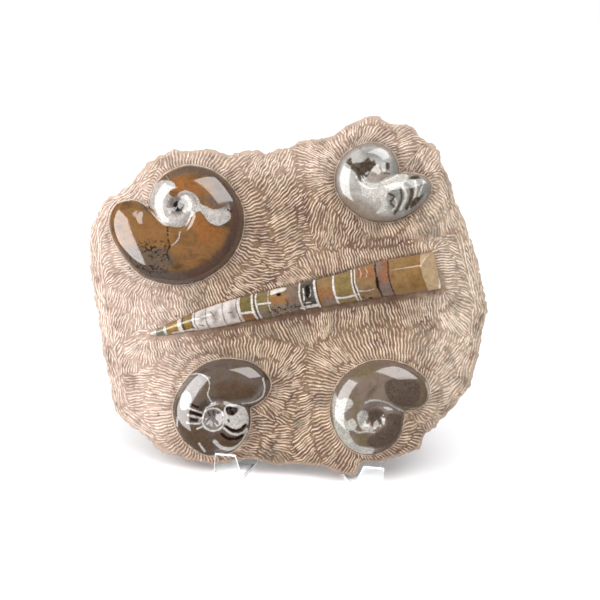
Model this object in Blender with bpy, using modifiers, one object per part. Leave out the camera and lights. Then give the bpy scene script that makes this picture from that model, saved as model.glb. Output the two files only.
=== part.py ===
# A limestone plate with one orthoceras and four goniatites polished in relief,
# standing on an easel bent from one sheet of clear acrylic.
#
# The plate is modelled flat: u to the right, v up and w out of its face, with w = 0 on its flat back.
# It is then turned a little in its own plane, leaned back, and stood on the easel's ledge.
# Lengths are millimetres here and become metres when a mesh is made.

import math

import bmesh
import bpy
import numpy as np
from mathutils import Matrix, Vector

MM = 0.001
GAP = 0.3  # clearance between two pieces that touch

# How the plate stands
LEAN = math.radians(20)  # the plate leans back
TURN = math.radians(5)  # and is turned in its own plane, counter-clockwise from the front

# Slab
SLAB_LEVEL = 19.0  # height of the open ground between the fossils
SLAB_EDGE_DROP = 5.0  # the ground falls this much towards the broken edge
SLAB_EDGE_WIDTH = 11.0
SLAB_BACK_BEVEL = 6.0  # height of the worn edge around the back
SLAB_BACK_SHRINK = 0.966  # size of the flat back against the outline
SLAB_TOP = 60.0  # above every point of the relief
SLAB_CELL = 6.9
SLAB_OUTLINE = [
    (-101, 110), (-95, 114), (-90, 112), (-82, 112), (-68, 113), (-55, 109), (-45, 111), (-34, 112),
    (-22, 110.5), (-16, 113.5), (-6, 116), (2, 120), (16, 121.5), (22, 122), (28, 126), (34, 130.5),
    (43, 134), (49, 137.5), (53, 138.5), (60, 136.5), (69, 133), (82, 131.5), (88, 126.5), (96, 119),
    (103, 112), (106, 103.5), (112, 92), (114, 82.5), (118, 73), (123, 63), (129, 46), (133, 32),
    (136.5, 19.5), (140, 1.5), (142, -7.5), (140, -15), (137, -30), (134, -43.5), (130, -54),
    (129, -64), (122, -73.5), (116, -80), (108, -88), (102, -95), (94, -102), (90, -111),
    (82, -115), (69, -118.5), (58, -122), (47, -122), (43, -128), (37, -132), (30, -130.5),
    (21, -127), (7, -124.5), (-8, -123.5), (-19, -124.5), (-28, -122), (-38, -119), (-46, -121.5),
    (-53, -123.5), (-63, -124), (-75, -121.5), (-84, -121), (-95, -117), (-105, -112), (-116, -104),
    (-129, -93), (-137, -87), (-141, -78), (-143, -66), (-146, -51), (-149, -37), (-151, -22),
    (-153, -6), (-156, 9), (-158, 26), (-159, 41), (-157, 54), (-152, 64), (-148, 73), (-137, 81),
    (-125, 91), (-116, 100), (-108, 107),
]

# Orthoceras: a long cone, polished to about half its depth
CONE_TIP = (-112, -25.5)  # sharp end, in the plate's plane
CONE_END = (102.5, 21.0)  # of the line that the profile is measured from
CONE_PROFILE = [  # distance from the tip, radius, and how far the middle stands above the line
    (0, 1.3, 0), (12, 3.5, 0.2), (24, 5.3, 1.3), (39, 7.4, 2.2), (54, 8.7, 2.9), (72, 9.3, 3.4),
    (95, 10.2, 3.2), (120, 10.5, 3.3), (146, 11.2, 3.0), (162, 12.5, 3.4), (178, 13.6, 3.4),
    (195, 14.0, 2.5), (219.5, 14.2, 1.1),
]
CONE_TIP_LEVEL = 21.5  # height of the widest line at the tip
CONE_END_LEVEL = 25.5
CONE_SIDES = 36
CONE_FLOOR = 13.0  # flat bottom in its pocket
CONE_FACET_DEPTH = 13.0  # the broad end is ground off at a slant over this length
CONE_FACET_SLOPE = 0.8  # and falls this much a millimetre

# Goniatites: centre of the coil in the plate's plane, outline around that centre from the notch on,
# middle of the fan of faces, seam between the last two turns, and heights
SHELL_FLOOR = 12.0
SHELL_RINGS = 9
SHELLS = {
    "goniatite_upper_left": {
        "centre": (-90.3, 69.6),
        "outline": [
            (-22.9, -1.5), (-21.5, 7.4), (-20, 11.8), (-15.5, 19.2), (-8.9, 25.2), (1.5, 29.6),
            (8.9, 30.7), (20.7, 28.5), (31.1, 22.9), (39.2, 14.1), (45.9, 3), (48.1, -8.9),
            (45.9, -23.7), (39.2, -37), (29.6, -46.6), (16.3, -54.4), (1.5, -57.7), (-13.3, -56.6),
            (-27.4, -51.4), (-38.5, -40.7), (-48.1, -25.9), (-51.8, -13.3), (-50.3, -3.7),
            (-45.9, 2.2), (-38.5, 4.4), (-32.6, 4.1), (-27.4, 1.5),
        ],
        "fan": (0, -19),
        "seam": [(-22.9, -1.5), (-15, -10.4), (-9, -15), (0, -17.4), (6, -14), (9, -8)],
        "rim": 26.0, "tilt": 0.0, "rise": 15.5, "shoulder": 23.0,
        "mound": 5.5, "reach": 21.0, "collar": 0.0,
        "colour": (0.36, 0.21, 0.10),
    },
    "goniatite_upper_right": {
        "centre": (51.8, 96.2),
        "outline": [
            (22.2, -1.5), (21.8, 3.7), (20, 9.6), (15.5, 16.3), (7.4, 20.7), (0, 21.5), (-8.1, 19.2),
            (-15.5, 14.8), (-22.2, 6.7), (-25.2, -4.4), (-23.7, -14.8), (-17.8, -24.4),
            (-8.9, -32.2), (0, -36.3), (9.6, -37.7), (20, -36.6), (30.3, -31.8), (38.5, -25.9),
            (44.4, -18.5), (46.6, -11.1), (45.1, -6.7), (40.7, -3.7), (34, -1.9), (28.1, -1.5),
        ],
        "fan": (2, -12),
        "seam": [(22.2, -1.5), (15, -6), (9, -8.5), (3, -10), (-4, -8), (-7, -3)],
        "rim": 24.0, "tilt": 0.0, "rise": 12.5, "shoulder": 18.0,
        "mound": 4.5, "reach": 24.0, "collar": 2.4,
        "colour": (0.38, 0.36, 0.33),
    },
    "goniatite_lower_left": {
        "centre": (-64.4, -85.8),
        "outline": [
            (26.6, 5.9), (27, -1.5), (26.6, -8.9), (24.4, -15.5), (20, -22.2), (13.3, -27.4),
            (3.7, -30), (-5.2, -30.3), (-13.3, -26.6), (-21.5, -20), (-27.4, -10.4), (-30.3, 1.5),
            (-28.9, 11.8), (-23.7, 22.2), (-16.3, 31.1), (-6.7, 37.7), (4.4, 41.1), (16.3, 41.1),
            (27.4, 38.5), (36.3, 32.9), (41.4, 25.9), (41.8, 20), (38.5, 13.3), (32.6, 8.5),
        ],
        "fan": (3, 12),
        "seam": [(26.6, 5.9), (17, 9.5), (8, 12), (0, 11), (-7, 6), (-9, -1)],
        "rim": 24.0, "tilt": 0.05, "rise": 14.0, "shoulder": 20.0,
        "mound": 4.5, "reach": 19.0, "collar": 0.0,
        "colour": (0.30, 0.27, 0.24),
    },
    "goniatite_lower_right": {
        "centre": (57.0, -87.3),
        "outline": [
            (20.7, 5.2), (20, -3.7), (17.8, -13.3), (12.6, -20.7), (4.4, -25.9), (-5.2, -28.5),
            (-14.8, -26.6), (-23.7, -20.7), (-30.3, -11.1), (-34, 0.7), (-32.6, 14.1), (-27.4, 25.9),
            (-18.5, 34.8), (-7.4, 40.3), (3.7, 42.2), (15.5, 40.7), (26.6, 36.3), (35.5, 29.2),
            (39.6, 20.7), (37.7, 11.8), (31.8, 6.7), (25.9, 5.6),
        ],
        "fan": (0, 13),
        "seam": [(20.7, 5.2), (13, 8), (5, 9.5), (-3, 8.5), (-8, 4), (-9, -2)],
        "rim": 24.5, "tilt": 0.03, "rise": 14.0, "shoulder": 20.0,
        "mound": 5.0, "reach": 19.0, "collar": 0.0,
        "colour": (0.31, 0.24, 0.19),
    },
}
COIL_RADIUS = 7.0  # the sunken middle of a coil
COIL_DEPTH = 5.5
SEAM_WIDTH = 2.8
SEAM_DEPTH = 2.6

# Easel: one sheet with a V cut out of its front edge, bent at the lip, the ledge and the top
SHEET = 3.0
EASEL_WIDTH = 126.0
EASEL_OFFSET = 10.2  # its middle is to the right of the plate's
LIP_HEIGHT = 21.0
LEDGE_DEPTH = 28.0  # from the front of the lip to the back rest
REST_LENGTH = 135.0  # up the slope
LEG_SPREAD = 62.0  # the rear foot is this far behind the plate's middle
BEND_RADIUS = 4.0  # to the middle of the sheet
BEND_STEPS = 4
NOTCH_WIDTH = 96.0  # of the V at the lip's upper edge
NOTCH_SLOPE = 0.36  # each side closes in by this much a millimetre

# How high the plate's middle is: its lowest edge stands just clear of the ledge
MIDDLE_HEIGHT = SHEET + GAP - SLAB_BACK_BEVEL * math.sin(LEAN) + math.cos(LEAN) * max(
    -u * math.sin(TURN) - v * math.cos(TURN) for u, v in SLAB_OUTLINE
)


def clear_scene():
    for item in list(bpy.data.objects):
        bpy.data.objects.remove(item, do_unlink=True)


def new_collection(name):
    made = bpy.data.collections.new(name)
    bpy.context.scene.collection.children.link(made)
    return made


def stone_or_plastic(name, colour, roughness):
    material = bpy.data.materials.new(name)
    material.use_nodes = True
    shader = material.node_tree.nodes["Principled BSDF"]
    shader.inputs["Base Color"].default_value = (*colour, 1.0)
    shader.inputs["Roughness"].default_value = roughness
    shader.inputs["Metallic"].default_value = 0.0
    return material


# Measuring in the plate's plane

def segment_distance(points, start, end):
    start = np.array(start, dtype=float)
    along = np.array(end, dtype=float) - start
    share = np.clip((points - start) @ along / (along @ along), 0.0, 1.0)
    return np.linalg.norm(points - start - share[:, None] * along, axis=1)


def line_distance(points, line):
    return np.min([segment_distance(points, a, b) for a, b in zip(line, line[1:])], axis=0)


def outline_distance(points, outline):
    """Distance to a closed outline, positive inside it."""
    closed = list(outline) + [outline[0]]
    distance = line_distance(points, closed)
    inside = np.zeros(len(points), dtype=bool)
    for (x1, y1), (x2, y2) in zip(closed, closed[1:]):
        if y1 == y2:
            continue
        crosses = (y1 > points[:, 1]) != (y2 > points[:, 1])
        inside ^= crosses & (points[:, 0] < (x2 - x1) * (points[:, 1] - y1) / (y2 - y1) + x1)
    return np.where(inside, distance, -distance)


def smooth_depth(points, outline):
    """Distance inside an outline with its creases smoothed, exact beside a straight edge."""
    samples = []
    weights = []
    for a, b in zip(outline, list(outline[1:]) + [outline[0]]):
        count = max(1, round(math.dist(a, b)))  # one sample a millimetre
        shares = (np.arange(count) + 0.5) / count
        samples.append(np.outer(1 - shares, a) + np.outer(shares, b))
        weights.append(np.full(count, math.dist(a, b) / count))
    samples = np.vstack(samples)
    weights = np.concatenate(weights)
    squares = ((points[:, None, :] - samples[None, :, :]) ** 2).sum(axis=2)
    total = (weights / np.maximum(squares, 0.01) ** 2).sum(axis=1)
    smooth = (2 / math.pi * total) ** (-1 / 3)
    return np.minimum(smooth, np.maximum(outline_distance(points, outline), 0.0))


def cone_footprint():
    tip = Vector(CONE_TIP)
    along = (Vector(CONE_END) - tip).normalized()
    side = Vector((-along.y, along.x))
    upper = []
    lower = []
    for far, radius, shift in CONE_PROFILE:
        upper.append(tuple(tip + along * far + side * (shift + radius)))
        lower.append(tuple(tip + along * far + side * (shift - radius)))
    return lower + upper[::-1]


def shell_outline(shell):
    u, v = shell["centre"]
    return [(u + x, v + y) for x, y in shell["outline"]]


# Relief

def slab_height(points):
    """Height of the stone's face: mounds under the fossils, valleys between them, a falling edge."""
    height = np.full(len(points), SLAB_LEVEL)
    for shell in SHELLS.values():
        outside = np.maximum(-outline_distance(points, shell_outline(shell)), 0.0)
        height += shell["mound"] * np.exp(-((outside / shell["reach"]) ** 2))
        height += shell["collar"] * np.exp(-(((outside - 11.0) / 6.0) ** 2))
        height -= 0.8 * shell["collar"] * np.exp(-((outside / 4.0) ** 2))
    beside = np.maximum(-outline_distance(points, cone_footprint()), 0.0)
    ridge = 2.5 + 2.5 * np.clip((points[:, 0] - CONE_TIP[0]) / 200.0, 0.0, 1.0)
    height += ridge * np.exp(-((beside / 13.0) ** 2))
    hollow = ((points[:, 0] + 2.0) / 17.0) ** 2 + ((points[:, 1] - 72.0) / 38.0) ** 2
    height -= 3.0 * np.exp(-hollow)
    height -= 2.2 * np.exp(-((line_distance(points, [(78, -4), (110, -5), (146, -7)]) / 6.0) ** 2))
    height -= 1.6 * np.exp(-((line_distance(points, [(-127, -29), (-137, -44)]) / 6.0) ** 2))
    height += 0.5 * np.sin(points[:, 0] / 9.0 + 1.3) * np.sin(points[:, 1] / 11.0 + 0.4)
    inside = np.clip(outline_distance(points, SLAB_OUTLINE), 0.0, SLAB_EDGE_WIDTH)
    return height - SLAB_EDGE_DROP * (1.0 - inside / SLAB_EDGE_WIDTH) ** 2


def shell_height(points, shell):
    """A polished dome that follows the shell's outline, with a sunken coil and the seam into it."""
    around = points - np.array(shell["centre"])
    depth = smooth_depth(around, shell["outline"])
    share = np.clip(depth / shell["shoulder"], 0.0, 1.0)
    height = shell["rim"] + shell["tilt"] * around[:, 1]
    height += shell["rise"] * np.sqrt(1.0 - (1.0 - share) ** 2)
    inner = np.clip(depth / 6.0, 0.0, 1.0)
    coil = np.linalg.norm(around, axis=1) / COIL_RADIUS
    height -= inner * COIL_DEPTH * np.exp(-(coil ** 2))
    seam = line_distance(around, shell["seam"]) / SEAM_WIDTH
    return height - inner * SEAM_DEPTH * np.exp(-(seam ** 2))


# Meshes

def finish_mesh(bm, name, collection, place, material=None):
    """Turns a bmesh in millimetres into an object in metres."""
    bmesh.ops.recalc_face_normals(bm, faces=bm.faces)
    bmesh.ops.scale(bm, vec=(MM, MM, MM), verts=bm.verts)
    mesh = bpy.data.meshes.new(name)
    bm.to_mesh(mesh)
    bm.free()
    item = bpy.data.objects.new(name, mesh)
    collection.objects.link(item)
    item.matrix_world = place
    if material:
        mesh.materials.append(material)
    return item


def prism(bm, outline, low, high):
    face = bm.faces.new([bm.verts.new((x, y, low)) for x, y in outline])
    top = bmesh.ops.extrude_face_region(bm, geom=[face])["geom"]
    verts = [item for item in top if isinstance(item, bmesh.types.BMVert)]
    bmesh.ops.translate(bm, vec=(0, 0, high - low), verts=verts)
    return face


def grow(outline, margin):
    """An outline moved outwards by a margin, corner by corner."""
    points = [Vector(point) for point in outline]
    area = sum(a.x * b.y - b.x * a.y for a, b in zip(points, points[1:] + points[:1]))
    turn = 1.0 if area > 0 else -1.0
    grown = []
    for before, here, after in zip(points[-1:] + points[:-1], points, points[1:] + points[:1]):
        first = (here - before).normalized()
        second = (after - here).normalized()
        normal = Vector((first.y + second.y, -first.x - second.x)).normalized() * turn
        straight = abs(normal.dot(Vector((first.y, -first.x))))
        grown.append(tuple(here + normal * margin / max(straight, 0.5)))
    return grown


def make_cutter(name, outline, low, high):
    bm = bmesh.new()
    prism(bm, outline, low, high)
    cutter = finish_mesh(bm, name, cutters, plate_place)
    cutter.hide_render = True
    cutter.display_type = "WIRE"
    return cutter


def add_boolean(item, cutter, operation):
    cut = item.modifiers.new(cutter.name, "BOOLEAN")
    cut.operation = operation
    cut.solver = "EXACT"
    cut.object = cutter


def make_slab():
    """A grid lifted by the relief and closed below, cut to the outline, with a pocket a fossil."""
    us = [u for u, v in SLAB_OUTLINE]
    vs = [v for u, v in SLAB_OUTLINE]
    margin = SLAB_CELL / 2
    width = max(us) - min(us) + 2 * margin
    tall = max(vs) - min(vs) + 2 * margin
    bm = bmesh.new()
    bmesh.ops.create_grid(
        bm, x_segments=round(width / SLAB_CELL), y_segments=round(tall / SLAB_CELL), size=0.5
    )
    bmesh.ops.scale(bm, vec=(width, tall, 1.0), verts=bm.verts)
    middle = ((max(us) + min(us)) / 2, (max(vs) + min(vs)) / 2, 0.0)
    bmesh.ops.translate(bm, vec=middle, verts=bm.verts)
    heights = slab_height(np.array([vert.co[:2] for vert in bm.verts]))
    for vert, height in zip(bm.verts, heights):
        vert.co.z = height
    rim = [edge for edge in bm.edges if edge.is_boundary]
    skirt = bmesh.ops.extrude_edge_only(bm, edges=rim)["geom"]
    for vert in [part for part in skirt if isinstance(part, bmesh.types.BMVert)]:
        vert.co.z = -SLAB_BACK_BEVEL
    bottom = [part for part in skirt if isinstance(part, bmesh.types.BMEdge)]
    bmesh.ops.contextual_create(bm, geom=bottom)
    slab = finish_mesh(bm, "matrix_slab", pieces, plate_place, materials["matrix_slab"])

    bm = bmesh.new()
    face = prism(bm, SLAB_OUTLINE, SLAB_BACK_BEVEL, SLAB_TOP)
    below = bmesh.ops.extrude_face_region(bm, geom=[face])["geom"]
    verts = [part for part in below if isinstance(part, bmesh.types.BMVert)]
    bmesh.ops.scale(bm, vec=(SLAB_BACK_SHRINK, SLAB_BACK_SHRINK, 1.0), verts=verts)
    bmesh.ops.translate(bm, vec=(0, 0, -SLAB_BACK_BEVEL), verts=verts)
    bmesh.ops.delete(bm, geom=[face], context="FACES_ONLY")
    block = finish_mesh(bm, "slab_block", cutters, plate_place)
    block.hide_render = True
    block.display_type = "WIRE"
    add_boolean(slab, block, "INTERSECT")

    outline = grow(cone_footprint(), GAP)
    pocket = make_cutter("orthoceras_pocket", outline, CONE_FLOOR - GAP, SLAB_TOP)
    add_boolean(slab, pocket, "DIFFERENCE")
    for name, shell in SHELLS.items():
        outline = grow(shell_outline(shell), GAP)
        pocket = make_cutter(name + "_pocket", outline, SHELL_FLOOR - GAP, SLAB_TOP)
        add_boolean(slab, pocket, "DIFFERENCE")
    return slab


def make_shell(name, shell):
    """A prism on the shell's outline whose top is poked, ringed and lifted into a dome."""
    outline = shell_outline(shell)
    points = []
    for a, b in zip(outline, outline[1:] + outline[:1]):
        points.append(a)
        if math.dist(a, b) > 5.5:
            points.append(((a[0] + b[0]) / 2, (a[1] + b[1]) / 2))
    bm = bmesh.new()
    prism(bm, points, SHELL_FLOOR, shell["rim"])
    top = max(bm.faces, key=lambda each: each.calc_center_median().z)
    poked = bmesh.ops.poke(bm, faces=[top])
    hub = poked["verts"][0]
    hub.co.x = shell["centre"][0] + shell["fan"][0]
    hub.co.y = shell["centre"][1] + shell["fan"][1]
    bmesh.ops.subdivide_edges(bm, edges=list(hub.link_edges), cuts=SHELL_RINGS, use_grid_fill=True)
    bm.normal_update()
    lifted = [vert for vert in bm.verts if vert.co.z > shell["rim"] - 0.01]
    heights = shell_height(np.array([vert.co[:2] for vert in lifted]), shell)
    for vert, height in zip(lifted, heights):
        vert.co.z = height
    return finish_mesh(bm, name, pieces, plate_place, materials[name])


def make_orthoceras():
    """A rod cut into rings that swell to the profile, flat below, its broad end ground off."""
    tip = Vector(CONE_TIP)
    end = Vector(CONE_END)
    far, radii, shifts = zip(*CONE_PROFILE)
    length = far[-1]
    bm = bmesh.new()
    bmesh.ops.create_cone(
        bm, cap_ends=True, segments=CONE_SIDES, radius1=1.0, radius2=1.0, depth=length
    )
    bmesh.ops.translate(bm, vec=(0, 0, length / 2), verts=bm.verts)
    bmesh.ops.rotate(bm, matrix=Matrix.Rotation(math.radians(90), 3, "Y"), verts=bm.verts)
    for place in far[1:-1]:
        bmesh.ops.bisect_plane(
            bm, geom=bm.verts[:] + bm.edges[:] + bm.faces[:],
            plane_co=(place, 0, 0), plane_no=(1, 0, 0),
        )
    for vert in bm.verts:
        radius = float(np.interp(vert.co.x, far, radii))
        vert.co.y = vert.co.y * radius + float(np.interp(vert.co.x, far, shifts))
        vert.co.z *= radius
    slant = Vector((CONE_FACET_SLOPE, 0.0, 1.0))
    ground = Vector((length - CONE_FACET_DEPTH, 0.0, radii[-1]))
    cut = bmesh.ops.bisect_plane(
        bm, geom=bm.verts[:] + bm.edges[:] + bm.faces[:],
        plane_co=ground, plane_no=slant, clear_outer=True,
    )
    rim = [part for part in cut["geom_cut"] if isinstance(part, bmesh.types.BMEdge)]
    bmesh.ops.contextual_create(bm, geom=rim)
    for vert in bm.verts:
        share = vert.co.x / length
        level = CONE_TIP_LEVEL + (CONE_END_LEVEL - CONE_TIP_LEVEL) * share
        vert.co.z = CONE_FLOOR if vert.co.z < -0.05 else level + vert.co.z
    turn = math.atan2(end.y - tip.y, end.x - tip.x)
    bmesh.ops.rotate(bm, matrix=Matrix.Rotation(turn, 3, "Z"), verts=bm.verts)
    bmesh.ops.translate(bm, vec=(tip.x, tip.y, 0), verts=bm.verts)
    return finish_mesh(bm, "orthoceras", pieces, plate_place, materials["orthoceras"])


def bend(start, turn_from, turn_to):
    """Points round a bend of the sheet's middle line, after its start, and the bend's last one."""
    side = 1.0 if turn_to > turn_from else -1.0
    centre_y = start[0] - side * BEND_RADIUS * math.sin(turn_from)
    centre_z = start[1] + side * BEND_RADIUS * math.cos(turn_from)
    points = []
    for step in range(1, BEND_STEPS + 1):
        angle = turn_from + (turn_to - turn_from) * step / BEND_STEPS
        points.append((
            centre_y + side * BEND_RADIUS * math.sin(angle),
            centre_z - side * BEND_RADIUS * math.cos(angle),
        ))
    return points


def behind_plate(distance, height):
    """How far back the plane at a distance behind the plate's back is, at a height."""
    up = (height - MIDDLE_HEIGHT + distance * math.sin(LEAN)) / math.cos(LEAN)
    return up * math.sin(LEAN) + distance * math.cos(LEAN)


def easel_profile():
    """The sheet's middle line from the side, as (y, z), from the lip's upper edge to the rear foot."""
    half = SHEET / 2
    front = behind_plate(GAP, SHEET) - LEDGE_DEPTH
    down, level, up = math.radians(-90), 0.0, math.radians(90) - LEAN
    line = [(front + half, LIP_HEIGHT), (front + half, half + BEND_RADIUS)]
    line += bend(line[-1], down, level)
    tangent = BEND_RADIUS * math.tan(up / 2)
    line.append((behind_plate(GAP + half, half) - tangent, half))
    line += bend(line[-1], level, up)
    top_y = line[-1][0] + (REST_LENGTH - tangent) * math.cos(up)
    top_z = line[-1][1] + (REST_LENGTH - tangent) * math.sin(up)
    line.append((top_y, top_z))
    leg = -math.atan2(top_z, LEG_SPREAD - top_y)
    line += bend(line[-1], up, leg)
    reach = (line[-1][1] + SHEET) / math.sin(-leg)
    line.append((line[-1][0] + reach * math.cos(leg), line[-1][1] + reach * math.sin(leg)))
    return line


def make_easel():
    """A flat grid with the V left out, bent along the profile and given the sheet's thickness."""
    profile = easel_profile()
    lengths = [0.0]
    for a, b in zip(profile, profile[1:]):
        lengths.append(lengths[-1] + math.dist(a, b))
    closing = NOTCH_WIDTH / 2 / NOTCH_SLOPE
    rows = list(zip(profile, lengths))
    for index, (before, after) in enumerate(zip(rows, rows[1:])):
        if before[1] < closing < after[1]:
            share = (closing - before[1]) / (after[1] - before[1])
            point = tuple(p + (q - p) * share for p, q in zip(before[0], after[0]))
            rows.insert(index + 1, (point, closing))
            break
    bm = bmesh.new()
    bmesh.ops.create_grid(bm, x_segments=3, y_segments=len(rows) - 1, size=1.0)
    columns = sorted({round(vert.co.x, 4) for vert in bm.verts})
    heights = sorted({round(vert.co.y, 4) for vert in bm.verts})
    half = EASEL_WIDTH / 2
    for vert in bm.verts:
        column = columns.index(round(vert.co.x, 4))
        (y, z), length = rows[heights.index(round(vert.co.y, 4))]
        notch = max(NOTCH_WIDTH / 2 - NOTCH_SLOPE * length, 0.0)
        vert.co = (EASEL_OFFSET + (-half, -notch, notch, half)[column], y, z)
    open_faces = [
        face for face in bm.faces
        if abs(face.calc_center_median().x - EASEL_OFFSET) < 1.0 and face.calc_area() > 1e-6
    ]
    bmesh.ops.delete(bm, geom=open_faces, context="FACES_ONLY")
    bmesh.ops.remove_doubles(bm, verts=bm.verts, dist=0.01)
    loose = [edge for edge in bm.edges if not edge.link_faces]
    bmesh.ops.delete(bm, geom=loose, context="EDGES")
    easel = finish_mesh(bm, "easel", pieces, Matrix(), materials["easel"])
    wall = easel.modifiers.new("sheet", "SOLIDIFY")
    wall.thickness = SHEET * MM
    wall.offset = 0.0
    wall.use_even_offset = True

    bm = bmesh.new()
    bmesh.ops.create_cube(bm, size=100.0)
    bmesh.ops.scale(bm, vec=(3.0, 3.0, 0.5), verts=bm.verts)
    bmesh.ops.translate(bm, vec=(EASEL_OFFSET, 0, -25.0), verts=bm.verts)
    table = finish_mesh(bm, "foot_trim", cutters, Matrix())
    table.hide_render = True
    table.display_type = "WIRE"
    add_boolean(easel, table, "DIFFERENCE")
    return easel


def centre_on_origin(items):
    """Moves everything so that the box around the pieces stands on the origin, by its middle."""
    bpy.context.view_layer.update()
    graph = bpy.context.evaluated_depsgraph_get()
    corners = []
    for item in items:
        shown = item.evaluated_get(graph)
        corners += [shown.matrix_world @ vert.co for vert in shown.data.vertices]
    low = [min(corner[axis] for corner in corners) for axis in range(3)]
    high = [max(corner[axis] for corner in corners) for axis in range(3)]
    shift = Vector((-(low[0] + high[0]) / 2, -(low[1] + high[1]) / 2, -low[2]))
    for item in bpy.context.scene.objects:
        item.matrix_world = Matrix.Translation(shift) @ item.matrix_world
    print("box in mm:", [round((b - a) / MM, 1) for a, b in zip(low, high)])
    print("shift in mm:", [round(value / MM, 2) for value in shift])


clear_scene()
pieces = new_collection("fossil plate")
cutters = new_collection("cutters")
plate_place = (
    Matrix.Translation((0.0, 0.0, MIDDLE_HEIGHT * MM))
    @ Matrix.Rotation(math.radians(90) - LEAN, 4, "X")
    @ Matrix.Rotation(TURN, 4, "Z")
)
materials = {
    "matrix_slab": stone_or_plastic("tooled limestone", (0.50, 0.40, 0.31), 0.9),
    "orthoceras": stone_or_plastic("polished orthoceras", (0.40, 0.32, 0.20), 0.15),
    "easel": stone_or_plastic("clear acrylic", (0.93, 0.95, 0.96), 0.05),
}
for name, shell in SHELLS.items():
    materials[name] = stone_or_plastic(name.replace("_", " "), shell["colour"], 0.15)

made = [make_slab(), make_orthoceras(), make_easel()]
for name, shell in SHELLS.items():
    made.append(make_shell(name, shell))
centre_on_origin(made)
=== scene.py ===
# Looks of a fossil plate: one orthoceras and four goniatites polished in relief in a tooled
# limestone slab, standing on an easel bent from one clear acrylic sheet.
#
# The plate is laid out flat in its own millimetres, u to the right, v up and w out of its face,
# and every finished mesh is placed from there. Marks on the fossils are given where they stand
# in the photograph, in its pixels.
import math

import bpy
import numpy as np
from mathutils import Matrix, Vector


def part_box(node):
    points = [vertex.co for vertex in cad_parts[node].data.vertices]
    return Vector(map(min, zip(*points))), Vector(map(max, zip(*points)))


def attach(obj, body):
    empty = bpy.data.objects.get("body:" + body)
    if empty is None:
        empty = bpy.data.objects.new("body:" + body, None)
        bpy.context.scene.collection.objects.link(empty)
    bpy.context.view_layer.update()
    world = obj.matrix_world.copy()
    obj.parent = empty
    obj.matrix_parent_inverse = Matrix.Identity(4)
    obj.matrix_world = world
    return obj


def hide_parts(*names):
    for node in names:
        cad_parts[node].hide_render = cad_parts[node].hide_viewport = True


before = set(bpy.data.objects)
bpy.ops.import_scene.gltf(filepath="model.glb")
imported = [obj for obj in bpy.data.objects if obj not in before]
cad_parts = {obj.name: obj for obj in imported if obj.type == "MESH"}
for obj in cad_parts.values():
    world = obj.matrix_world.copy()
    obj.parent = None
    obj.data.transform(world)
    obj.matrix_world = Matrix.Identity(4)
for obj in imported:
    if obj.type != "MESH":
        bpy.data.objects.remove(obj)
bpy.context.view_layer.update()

print("frame loaded:", len(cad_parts), "nodes")
mm = 0.001
fullTurn = 2 * math.pi


# Slab: the plate's own plane, its outline and its relief

slab = {
    "leanDegrees": 20.0,  # it leans back
    "turnDegrees": 5.0,  # and is turned a little in its own plane
    "level": 19.0,  # open ground between the fossils
    "edgeDrop": 5.0,
    "edgeWidth": 11.0,
    "backBevel": 6.0,
    "backShrink": 0.966,
    "rays": 640,
    "faceRings": 122,
    "wallRings": 14,
    "backRings": 6,
    "chips": 0.8,  # how far the broken edge wanders
    # a collar stands around some shells, with a ditch inside it
    "collarAway": 11.0,
    "collarWidth": 6.0,
    "ditchWidth": 4.0,
    "ditchShare": 0.8,
    "hollow": (3.0, (-2.0, 72.0), (17.0, 38.0)),  # depth, middle and half widths
    "gullies": [  # depth, half width and line
        (2.2, 6.0, [(78, -4), (110, -5), (146, -7)]), (1.6, 6.0, [(-127, -29), (-137, -44)]),
    ],
    "lumps": [(0.45, 9.0, 3), (0.2, 3.4, 4)],  # height and size of the noise, and its seed
    "farFromFossil": 30.0,
    "outline": [
        (-101, 110), (-95, 114), (-90, 112), (-82, 112), (-68, 113), (-55, 109), (-45, 111),
        (-34, 112), (-22, 110.5), (-16, 113.5), (-6, 116), (2, 120), (16, 121.5), (22, 122),
        (28, 126), (34, 130.5), (43, 134), (49, 137.5), (53, 138.5), (60, 136.5), (69, 133),
        (82, 131.5), (88, 126.5), (96, 119), (103, 112), (106, 103.5), (112, 92), (114, 82.5),
        (118, 73), (123, 63), (129, 46), (133, 32), (136.5, 19.5), (140, 1.5), (142, -7.5),
        (140, -15), (137, -30), (134, -43.5), (130, -54), (129, -64), (122, -73.5), (116, -80),
        (108, -88), (102, -95), (94, -102), (90, -111), (82, -115), (69, -118.5), (58, -122),
        (47, -122), (43, -128), (37, -132), (30, -130.5), (21, -127), (7, -124.5), (-8, -123.5),
        (-19, -124.5), (-28, -122), (-38, -119), (-46, -121.5), (-53, -123.5), (-63, -124),
        (-75, -121.5), (-84, -121), (-95, -117), (-105, -112), (-116, -104), (-129, -93),
        (-137, -87), (-141, -78), (-143, -66), (-146, -51), (-149, -37), (-151, -22), (-153, -6),
        (-156, 9), (-158, 26), (-159, 41), (-157, 54), (-152, 64), (-148, 73), (-137, 81),
        (-125, 91), (-116, 100), (-108, 107),
    ],
}

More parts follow.
